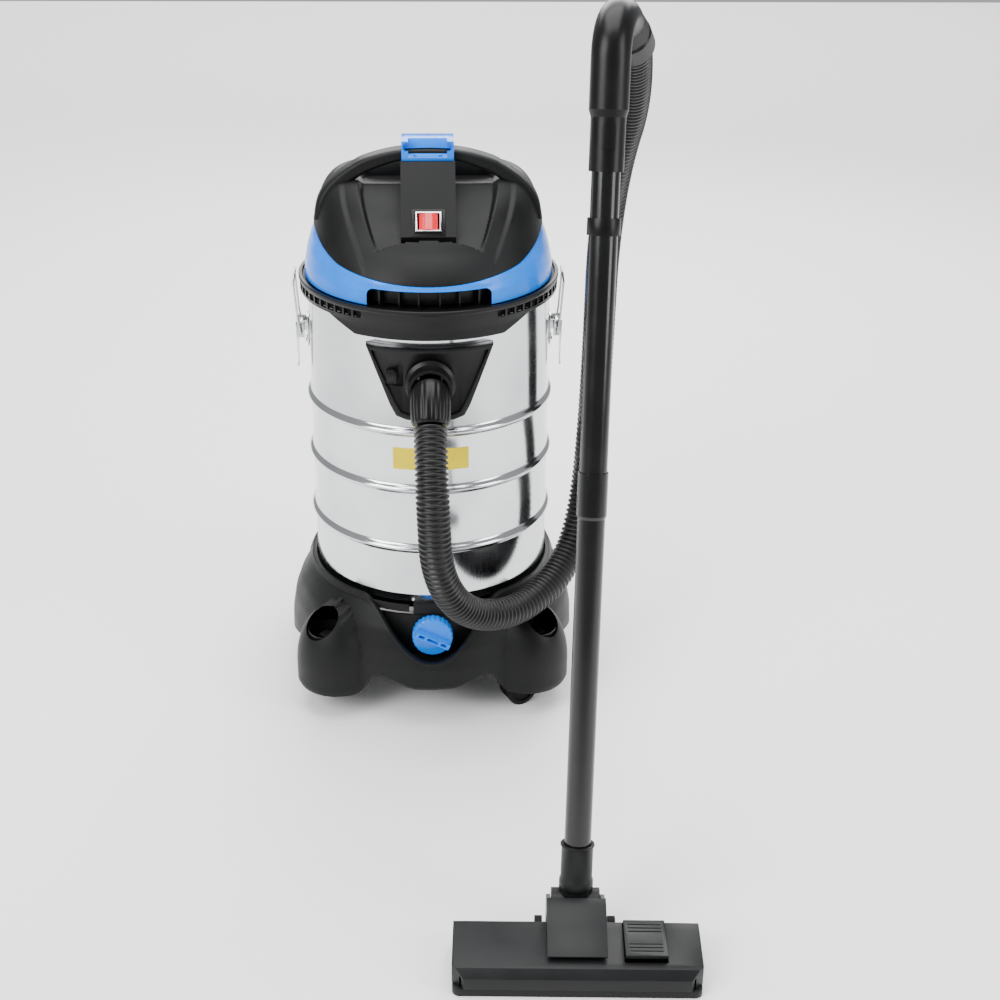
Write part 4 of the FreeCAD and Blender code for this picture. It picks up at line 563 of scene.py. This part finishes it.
def coverSpot(place, angle):
    # a point of the cover, at a place counted in rows and an angle round the drum's axis
    s = coverSizes
    height, half, front, rear, power = stations(s["rows"], place)
    c, n = math.cos(angle), math.sin(angle)
    reach = front if n < 0 else rear
    x = math.copysign(abs(c) ** (2 / power), c) * half
    y = math.copysign(abs(n) ** (2 / power), n) * reach
    z = height
    (footY, footZ), (topY, topZ) = s["panelFoot"], s["panelTop"]
    rise = min(max((z - footZ) / (topZ - footZ), 0.0), 1.0)
    panelHalf = s["panelHalf"][0] + (s["panelHalf"][1] - s["panelHalf"][0]) * rise
    creaseHalf = s["creaseHalf"][0] + (s["creaseHalf"][1] - s["creaseHalf"][0]) * between(z, 640.0, 756.0)
    if y < 0:
        # the strip between the creases lies a little deeper than the shoulders
        dip = s["creaseDepth"] * (1 - between(abs(x), creaseHalf - 3.0, creaseHalf))
        dip *= between(z, 652.0, 690.0) * between(-y, 20.0, 40.0)
        length = math.hypot(x, y)
        x, y = x * (1 - dip / length), y * (1 - dip / length)
        # the front panel is sunk to a flat slope
        slope = (topZ - footZ) / (topY - footY)
        panel = footZ + (y - footY) * slope
        sunk = 1 - between(abs(x), panelHalf - 4.0, panelHalf + 5.0)
        if panel < z and y > footY - 12.0:
            z += (panel - z) * sunk
    if height > s["wellAbove"]:
        z -= s["wellDepth"] * wellShare(x, y)
    return Vector((x, y, z))


def makeCover():
    s = coverSizes
    count = (len(s["rows"]) - 1) * s["perRow"]
    columns = []
    for step in range(s["around"]):
        angle = 2 * math.pi * step / s["around"]
        # each column starts where the body crosses the seam
        start = 0.0
        while start < len(s["rows"]) - 1:
            spot = coverSpot(start, angle)
            if spot.z >= seamHeight(spot.y) + s["seamGap"]:
                break
            start += 0.02
        last = len(s["rows"]) - 1
        columns.append([coverSpot(start + (last - start) * row / count, angle) for row in range(count + 1)])
    rings = [[columns[k][row] for k in range(s["around"])] for row in range(count + 1)]
    edge = rings[-1]
    middle = Vector((0.0, 20.0, 0.0))
    for share in (0.85, 0.7, 0.5, 0.25, 0.03):
        ring = []
        for spot in edge:
            x, y = middle.x + (spot.x - middle.x) * share, middle.y + (spot.y - middle.y) * share
            z = s["rows"][-1][0] - s["wellDepth"] * wellShare(x, y)
            panel = s["panelTop"][1] + (y - s["panelTop"][0]) * s["panelFall"]
            if y < s["panelTop"][0]:
                z = min(z, panel)
            ring.append(Vector((x, y, z)))
        rings.append(ring)
    cover = ringedMesh("motorCoverShell", [[at(*spot) for spot in ring] for ring in rings], capLast=True)
    applied(cover, "SOLIDIFY", thickness=s["wall"] / 1000, offset=-1.0, use_even_offset=False)
    smoothed(cover, 38)
    return cover


motorCoverShell = makeCover()

# ---- carry handle: a broad arch with rounded edges, rising out of the shoulders
handleSizes = {
    "stations": [  # outer x, outer z, inner x, inner z, half depth
        (-156.0, 704.0, -134.0, 704.0, 23.0), (-151.5, 727.0, -130.0, 724.0, 21.0),
        (-141.0, 746.0, -120.0, 739.0, 19.0), (-124.0, 763.0, -105.0, 751.0, 18.0),
        (-104.5, 776.5, -88.0, 762.5, 17.0), (-84.0, 787.0, -70.0, 770.5, 17.0),
        (-44.0, 797.0, -38.0, 781.0, 17.0), (0.0, 799.6, 0.0, 784.0, 17.0)],
    "middleY": -20.0, "perStation": 6, "around": 28, "squareness": 3.6,
}


def makeHandle():
    s = handleSizes
    half = s["stations"]
    rows = list(half) + [(-a, b, -c, d, e) for a, b, c, d, e in half[-2::-1]]
    rings = []
    for step in range((len(rows) - 1) * s["perStation"] + 1):
        outX, outZ, inX, inZ, depth = stations(rows, step / s["perStation"])
        centreX, centreZ = (outX + inX) / 2, (outZ + inZ) / 2
        ring = []
        for k in range(s["around"]):
            angle = 2 * math.pi * k / s["around"]
            c, n = math.cos(angle), math.sin(angle)
            across = math.copysign(abs(c) ** (2 / s["squareness"]), c)
            deep = math.copysign(abs(n) ** (2 / s["squareness"]), n)
            ring.append(at(centreX + (outX - centreX) * across, s["middleY"] + depth * deep,
                           centreZ + (outZ - centreZ) * across))
        rings.append(ring)
    handle = ringedMesh("carryHandleArch", rings, capFirst=True, capLast=True)
    smoothed(handle, 60)
    return handle


def makeGripWall():
    # the raised wall that closes the well behind the arch
    rings = []
    for y, top, half in ((40.0, 745.0, 108.0), (40.5, 764.0, 107.0), (44.0, 767.5, 105.0),
                         (58.0, 768.0, 100.0), (76.0, 763.0, 90.0), (94.0, 752.0, 74.0), (104.0, 742.0, 60.0)):
        ring = []
        for k in range(25):
            share = -1 + k / 12
            ring.append(at(half * share, y, 738.0 + (top - 738.0) * (1 - abs(share) ** 3.2) ** 0.5))
        ring += [at(half * share, y, 735.0) for share in (0.9, 0.0, -0.9)]
        rings.append(ring)
    wall = ringedMesh("gripWellWall", rings, capFirst=True, capLast=True)
    smoothed(wall, 50)
    handOver(wall, "head", "grainedAbs", "black_plastic")


makeGripWall()
carryHandleArch = makeHandle()
handOver(motorCoverShell, "head", "grainedAbs", "black_plastic", "motor_cover")
handOver(carryHandleArch, "head", "grainedAbs", "black_plastic", "carry_handle")
print("motor cover and carry handle shaped")

# ---- solids whose shape is right, with their moulded edges rounded
softenedNodes = {
    # node: body, finish, slot, rounding in mm
    "switch_frame": ("head", "satinAbs", "black_plastic", 0.6),
    "switch_bezel": ("head", "chromePlate", "chrome_trim", 0.4),
    "inlet_plate": ("root", "satinAbs", "black_plastic", 0.9),
    "inlet_catch": ("catch", "satinAbs", "black_plastic", 0.6),
    "drain_housing": ("root", "grainedAbs", "black_plastic", 2.0),
    "drain_cap": ("cap", "glossBlueAbs", "blue_plastic", 0.7),
    "handle_bracket": ("head", "glossBlueAbs", "blue_plastic", 1.2),
    "head_shell": ("floor_head", "greyPolypropylene", "black_plastic", 1.4),
    "sole_plate": ("floor_head", "greyPolypropylene", "grey_plastic", 0.8),
    "duct_cover": ("floor_head", "greyPolypropylene", "black_plastic", 1.6),
    "brush_pedal": ("pedal", "greyPolypropylene", "grey_plastic", 0.5),
    "parking_clip": ("wand", "satinAbs", "grey_plastic", 0.8),
    "swivel_neck": ("wand", "greyPolypropylene", "grey_plastic", 0.8),
    "latch_brackets": ("root", "pressedSteel", "latch_steel", 0.3),
    "latch_lever_left": ("lever_left", "pressedSteel", "latch_steel", 0.3),
    "latch_lever_right": ("lever_right", "pressedSteel", "latch_steel", 0.3),
}


def camelName(node):
    first, *others = node.split("_")
    return first + "".join(word.capitalize() for word in others) + "Moulded"


for node, (body, finishName, slotName, rounding) in softenedNodes.items():
    softened(camelName(node), node, body, finishName, slotName, rounding)
print("edges rounded on", len(softenedNodes), "solids")


# ---- walls drawn as a grid round the drum's axis, with cells left open
def walledGrid(name, outer, inner, isOpen=None):
    # outer and inner are columns of points; a wall stands between them and round every open cell
    columns, rows = len(outer), len(outer[0])
    corners = [p for column in outer for p in column] + [p for column in inner for p in column]
    shift = columns * rows

    def spot(column, row):
        return (column % columns) * rows + row

    def shut(column, row):
        if row < 0 or row >= rows - 1:
            return False
        return not (isOpen and isOpen(column % columns, row))

    faces = []
    for column in range(columns):
        for row in range(rows - 1):
            if not shut(column, row):
                continue
            a, b = spot(column, row), spot(column + 1, row)
            c, d = spot(column + 1, row + 1), spot(column, row + 1)
            faces += [(a, b, c, d), (d + shift, c + shift, b + shift, a + shift)]
            for near, (p, q) in (((column - 1, row), (d, a)), ((column + 1, row), (b, c)),
                                 ((column, row - 1), (a, b)), ((column, row + 1), (c, d))):
                if not shut(*near):
                    faces.append((q, p, p + shift, q + shift))
    piece = newMesh(name, corners, faces)
    outwards(piece)
    return piece


def removed(piece, cutter):
    # take the cutter's shape out of the piece
    applied(piece, "BOOLEAN", operation="DIFFERENCE", object=cutter, solver="EXACT", use_self=True)
    bpy.data.objects.remove(cutter)


def extruded(name, outline, low, high, place=None):
    # a flat outline in millimetres, given height along Z, then put in its place
    place = place or Matrix.Identity(4)
    count = len(outline)
    spots = [place @ Vector((x, y, z)) for z in (low, high) for x, y in outline]
    faces = [tuple(range(count))[::-1], tuple(range(count, 2 * count))]
    faces += [(k, (k + 1) % count, count + (k + 1) % count, count + k) for k in range(count)]
    piece = newMesh(name, [at(*spot) for spot in spots], faces)
    outwards(piece)
    return piece


def roundedBox(halfX, halfY, radius, steps=6):
    # outline of a rectangle with rounded corners
    outline = []
    for cornerX, cornerY, start in ((1, 1, 0), (-1, 1, 90), (-1, -1, 180), (1, -1, 270)):
        for step in range(steps + 1):
            angle = math.radians(start + 90 * step / steps)
            outline.append((cornerX * (halfX - radius) + radius * math.cos(angle),
                            cornerY * (halfY - radius) + radius * math.sin(angle)))
    return outline


def polar(radius, degreesFromFront, z):
    angle = math.radians(degreesFromFront)
    return Vector((radius * math.sin(angle), -radius * math.cos(angle), z))


# ---- cowl: blue band between lid and cover, with the blower's slot at the front
cowlSizes = {
    "rows": [(621.5, 173.0, 173.0, 173.0), (640.0, 171.4, 171.0, 171.4), (660.0, 167.5, 164.0, 167.0),
             (680.0, 161.5, 151.5, 159.5), (698.0, 154.0, 134.5, 149.5), (720.0, 143.0, 114.0, 135.0)],
    "around": 240, "up": 16, "wall": 3.0,
    "slotHalf": 82.5, "slotTop": 644.0, "slotRadius": 9.0, "bumpAt": (68.0, 651.0), "bumpRise": 2.4,
    "ribs": (-66.0, -40.0, -14.0, 14.0, 40.0, 66.0), "ribHalf": 1.2,
}


def cowlReach(z):
    rows = cowlSizes["rows"]
    for low, high in zip(rows, rows[1:]):
        if z <= high[0]:
            share = max(z - low[0], 0.0) / (high[0] - low[0])
            return [a + (b - a) * share for a, b in zip(low[1:], high[1:])]
    return rows[-1][1:]


def makeCowl():
    s = cowlSizes
    outer, inner = [], []
    for column in range(s["around"]):
        angle = 2 * math.pi * column / s["around"]
        c, n = math.cos(angle), math.sin(angle)
        top = 646.0
        for _ in range(6):
            half, front, rear = cowlReach(top)
            top = seamHeight(n * (front if n < 0 else rear))
        out, within = [], []
        for row in range(s["up"] + 1):
            z = 621.5 + (top - 621.5) * row / s["up"]
            half, front, rear = cowlReach(z)
            x, y = c * half, n * (front if n < 0 else rear)
            if n < 0:
                (bumpX, bumpZ), rise = s["bumpAt"], s["bumpRise"]
                y -= rise * math.exp(-((abs(x) - bumpX) / 15) ** 2 - ((z - bumpZ) / 4.5) ** 2)
            length = math.hypot(x, y)
            out.append(at(x, y, z))
            within.append(at(x * (1 - s["wall"] / length), y * (1 - s["wall"] / length), z))
        outer.append(out)
        inner.append(within)
    cowl = walledGrid("cowlBand", outer, inner)
    upright = Matrix.Translation((0, -160, 0)) @ Matrix.Rotation(math.radians(90), 4, "X")
    outline = roundedBox(s["slotHalf"], 22.0, s["slotRadius"])
    cutter = extruded("slotCutter", [(x, y + s["slotTop"] - 22.0) for x, y in outline], -45.0, 45.0, upright)
    removed(cowl, cutter)
    smoothed(cowl, 40)
    handOver(cowl, "head", "glossBlueAbs", "blue_plastic", "cowl")
    # ribbed wall behind the slot
    comb = []
    edges = [-92.0]
    for rib in s["ribs"]:
        edges += [rib - s["ribHalf"], rib + s["ribHalf"]]
    edges.append(92.0)
    for index, (a, b) in enumerate(zip(edges, edges[1:])):
        radius = 166.5 if index % 2 else 156.0
        for share in (0.0, 0.5, 1.0):
            x = a + (b - a) * share
            comb.append((x, -math.sqrt(radius ** 2 - x ** 2)))
    comb += [(x, -math.sqrt(153.0 ** 2 - x ** 2)) for x in (92.0, 60.0, 30.0, 0.0, -30.0, -60.0, -92.0)]
    wall = extruded("blowerSlotRibs", comb, 622.0, 647.0)
    handOver(wall, "head", "satinAbs", "black_plastic")


makeCowl()

# ---- lid ring: raised upper edge, long vents with thin fins, apron over the inlet
ringSizes = {
    "columns": 720, "inside": 177.0, "outside": 180.0, "apronBottom": 580.0, "apronSeam": 599.0,
    "bandBottom": 600.0, "apronRadius": 179.2, "levels": [0.0, 0.5, 0.92], "ventRow": 5,
    "rows": [(600.0, 180.0), (603.0, 180.0), (604.0, 180.4), (613.5, 180.4), (615.0, 180.6), (616.5, 181.6),
             (620.0, 181.6), (621.0, 180.6)],
    "apronHalf": (100.0, 137.0), "ventFrom": 29.0, "ventTo": 84.0, "finEvery": 5.0, "finWide": 0.9,
}


def makeLidRing():
    s = ringSizes
    outer, inner = [], []
    step = 360 / s["columns"]
    for column in range(s["columns"]):
        angle = column * step
        fromFront = min(angle, 360 - angle)
        x = s["outside"] * abs(math.sin(math.radians(fromFront)))
        foot, seam = s["bandBottom"], s["apronSeam"]
        if fromFront < 90:
            low, high = s["apronHalf"]
            away = min(max((x - low) / (high - low), 0.0), 1.0)
            foot = s["bandBottom"] - (s["bandBottom"] - s["apronBottom"]) * (1 - away)
        out, within = [], []
        for share in s["levels"]:
            z = foot + (seam - foot) * share if foot < seam else seam + 0.3 * share
            out.append(at(*polar(s["apronRadius"], angle, z)))
            within.append(at(*polar(s["inside"], angle, z)))
        for z, radius in s["rows"]:
            out.append(at(*polar(radius, angle, z)))
            within.append(at(*polar(s["inside"], angle, z)))
        outer.append(out)
        inner.append(within)

    def isVent(column, row):
        if row != s["ventRow"]:
            return False
        angle = column * step
        fromFront = min(angle, 360 - angle - step)
        if not s["ventFrom"] <= fromFront <= s["ventTo"]:
            return False
        return (fromFront - s["ventFrom"]) % s["finEvery"] >= s["finWide"]

    ring = walledGrid("lidRingVented", outer, inner, isVent)
    smoothed(ring, 30)
    handOver(ring, "head", "satinAbs", "black_plastic", "lid_ring")


makeLidRing()
print("cowl and lid ring shaped")

# ---- base: skirt with four caster pods, the drain's valley at the front
baseSizes = {
    "columns": 480, "wall": 3.6,
    "skirt": [(40.0, 211.0), (58.0, 212.0), (90.0, 211.0), (120.0, 206.0), (145.0, 197.0), (163.0, 187.0),
              (175.0, 179.5), (184.0, 176.0)],
    "top": 184.0, "valley": 82.0, "valleyFrom": 2.0, "valleyTo": 118.0,
    "podAway": 198.0, "podRadius": 58.0, "podMiddle": 74.0, "podHeight": 88.0, "blend": 5.0,
    "lipRise": 2.4, "skirtFoot": 58.0, "notchRise": 14.0, "podDrop": 32.0, "rowsDown": 22,
    "footTuck": 3.0, "footHeight": 5.0,
    "drops": [0.0, 1.2, 3.0, 6.5, 8.5, 10.0],
}


def skirtRadius(z):
    rows = baseSizes["skirt"]
    for (z0, r0), (z1, r1) in zip(rows, rows[1:]):
        if z <= z1:
            return r0 + (r1 - r0) * max(z - z0, 0.0) / (z1 - z0)
    return rows[-1][1]


def podRadius(angle, z):
    # how far out the nearest pod reaches along this ray
    s = baseSizes
    aside = math.radians(((angle % 90) - 45))
    rise = (z - s["podMiddle"]) / s["podHeight"]
    if abs(rise) >= 1:
        return 0.0
    reach = s["podRadius"] * (math.sqrt(1 - rise ** 2) if rise > 0 else 1.0)
    under = reach ** 2 - (s["podAway"] * math.sin(aside)) ** 2
    return s["podAway"] * math.cos(aside) + math.sqrt(under) if under > 0 else 0.0


def baseRadius(angle, z):
    skirt, pod, blend = skirtRadius(z), podRadius(angle, z), baseSizes["blend"]
    gap = max(blend - abs(skirt - pod), 0.0) / blend
    return max(skirt, pod) + gap * gap * blend / 4


def makeBase():
    s = baseSizes
    outer, inner = [], []
    for column in range(s["columns"]):
        angle = 360 * column / s["columns"]
        fromFront = min(angle, 360 - angle)
        corner = min(angle % 90, 90 - angle % 90)
        x = 206.0 * math.sin(math.radians(fromFront))
        top = s["top"]
        if fromFront < 80:
            top -= s["valley"] * (1 - between(abs(x), s["valleyFrom"], s["valleyTo"]))
        # the foot rises to a notch beside each pod, then drops to the pod
        foot = s["skirtFoot"] + s["notchRise"] * between(corner, 6.0, 22.0)
        foot -= s["podDrop"] * between(corner, 23.0, 31.0)
        out, within = [], []
        for drop in s["drops"]:
            z = top - drop
            lip = s["lipRise"] * between(drop, 0.0, 1.2) * (1 - between(drop, 6.5, 8.5))
            radius = baseRadius(angle, z) + lip
            out.append(at(*polar(radius, angle, z)))
            within.append(at(*polar(radius - s["wall"] - lip, angle, z)))
        for row in range(1, s["rowsDown"] + 1):
            z = top - s["drops"][-1] + (foot - top + s["drops"][-1]) * row / s["rowsDown"]
            tuck = s["footTuck"] * between(foot + s["footHeight"] - z, 0.0, s["footHeight"])
            radius = baseRadius(angle, z) - tuck
            out.append(at(*polar(radius, angle, z)))
            within.append(at(*polar(radius - s["wall"], angle, z)))
        outer.append(out)
        inner.append(within)
    base = walledGrid("baseSkirt", outer, inner)
    for sideX in (-1, 1):
        for sideY in (-1, 1):
            outline = [(25.0 * math.cos(a), 25.0 * math.sin(a))
                       for a in (2 * math.pi * k / 32 for k in range(32))]
            lean = Matrix.Translation((sideX * 151, sideY * 151, 84)) @ Matrix.Rotation(
                math.radians(10), 4, Vector((-sideY, sideX, 0)))
            removed(base, extruded("recessCutter", outline, 0.0, 120.0, lean))
    smoothed(base, 30)
    handOver(base, "root", "grainedAbs", "black_plastic", "base")
    # deck that carries the drum, with its rim
    deck = spun("drumDeck", [(0.0, 166.0), (150.0, 166.0), (168.0, 170.0), (175.0, 174.0), (178.5, 180.0),
                             (178.5, 168.0), (160.0, 158.0), (120.0, 154.0), (0.0, 154.0)], 96)
    # wall and gutter inside the skirt
    gutter = spun("skirtGutter", [(176.0, 162.0), (176.0, 98.0), (203.0, 94.0), (203.0, 91.0), (173.0, 91.0),
                                  (173.0, 162.0)], 96)
    smoothed(gutter, 35)
    handOver(gutter, "root", "grainedAbs", "black_plastic")
    bay = [(-33.0, -240.0), (33.0, -240.0), (33.0, -140.0), (-33.0, -140.0)]
    removed(deck, extruded("bayCutter", bay, 90.0, 190.0))
    smoothed(deck, 35)
    handOver(deck, "root", "grainedAbs", "black_plastic")
    # pockets under the recesses, each with the wedge that takes an accessory
    for sideX in (-1, 1):
        for sideY in (-1, 1):
            name = ("front" if sideY < 0 else "rear") + ("Left" if sideX < 0 else "Right")
            spot = Vector((sideX * 151.0, sideY * 151.0, 0.0))
            rings = []
            for radius, z in ((27.0, 128.0), (26.0, 100.0), (25.0, 88.0), (22.0, 84.0), (2.0, 83.5),
                              (2.0, 82.0), (24.0, 82.0), (27.0, 86.0), (28.0, 100.0), (28.5, 128.0)):
                rings.append([at(spot.x + radius * math.cos(2 * math.pi * k / 40),
                                 spot.y + radius * math.sin(2 * math.pi * k / 40), z) for k in range(40)])
            rings.append(rings[0])
            pocket = ringedMesh(name + "Pocket", rings)
            smoothed(pocket, 40)
            handOver(pocket, "root", "grainedAbs", "black_plastic")
            turn = Matrix.Translation((spot.x, spot.y, 0)) @ Matrix.Rotation(math.atan2(sideY, sideX), 4, "Z")
            wedge = extruded(name + "Wedge", roundedBox(9.0, 11.5, 3.0), 83.0, 120.0, turn)
            applied(wedge, "BEVEL", width=0.0022, segments=3, limit_method="ANGLE",
                    angle_limit=math.radians(40))
            smoothed(wedge, 40)
            handOver(wedge, "root", "grainedAbs", "black_plastic")


makeBase()
print("base shaped")

# ---- hose cuff at the inlet: short and fluted
cuffSizes = {"route": [(0.0, -212.0, 518.0), (0.0, -224.0, 509.0), (0.0, -233.5, 496.0),
                       (0.0, -241.0, 485.5)],
             "flutes": 18, "rise": 1.1, "around": 144}


def makeCuff():
    s = cuffSizes
    route = [at(*spot) for spot in s["route"]]
    rings = []
    rows = [(0.0, 25.0), (0.2, 26.0), (0.55, 26.6), (1.0, 26.4), (1.5, 26.4), (2.0, 26.0), (2.6, 25.4),
            (2.9, 24.4), (3.0, 22.9)]
    for place, radius in rows:
        low = min(int(place), len(route) - 2)
        spot = route[low].lerp(route[low + 1], place - low)
        turn = 12 + 42 * min(place / 2.2, 1.0)
        heading = Vector((0.0, -math.cos(math.radians(turn)), -math.sin(math.radians(turn))))
        side = Vector((1.0, 0.0, 0.0))
        other = heading.cross(side)
        fluted = 1.0 if 0.3 < place < 2.8 else 0.2
        ring = []
        for k in range(s["around"]):
            angle = 2 * math.pi * k / s["around"]
            grow = radius + fluted * s["rise"] * (abs(math.cos(angle * s["flutes"] / 2)) - 0.6)
            ring.append(spot + (side * math.cos(angle) + other * math.sin(angle)) * grow / 1000)
        rings.append(ring)
    cuff = ringedMesh("flutedCuff", rings, capFirst=True, capLast=True)
    smoothed(cuff, 50)
    return cuff


flutedCuff = makeCuff()
handOver(flutedCuff, "root", "satinAbs", "black_plastic", "hose_cuff_inlet")
print("cuff shaped")

bpy.context.view_layer.update()
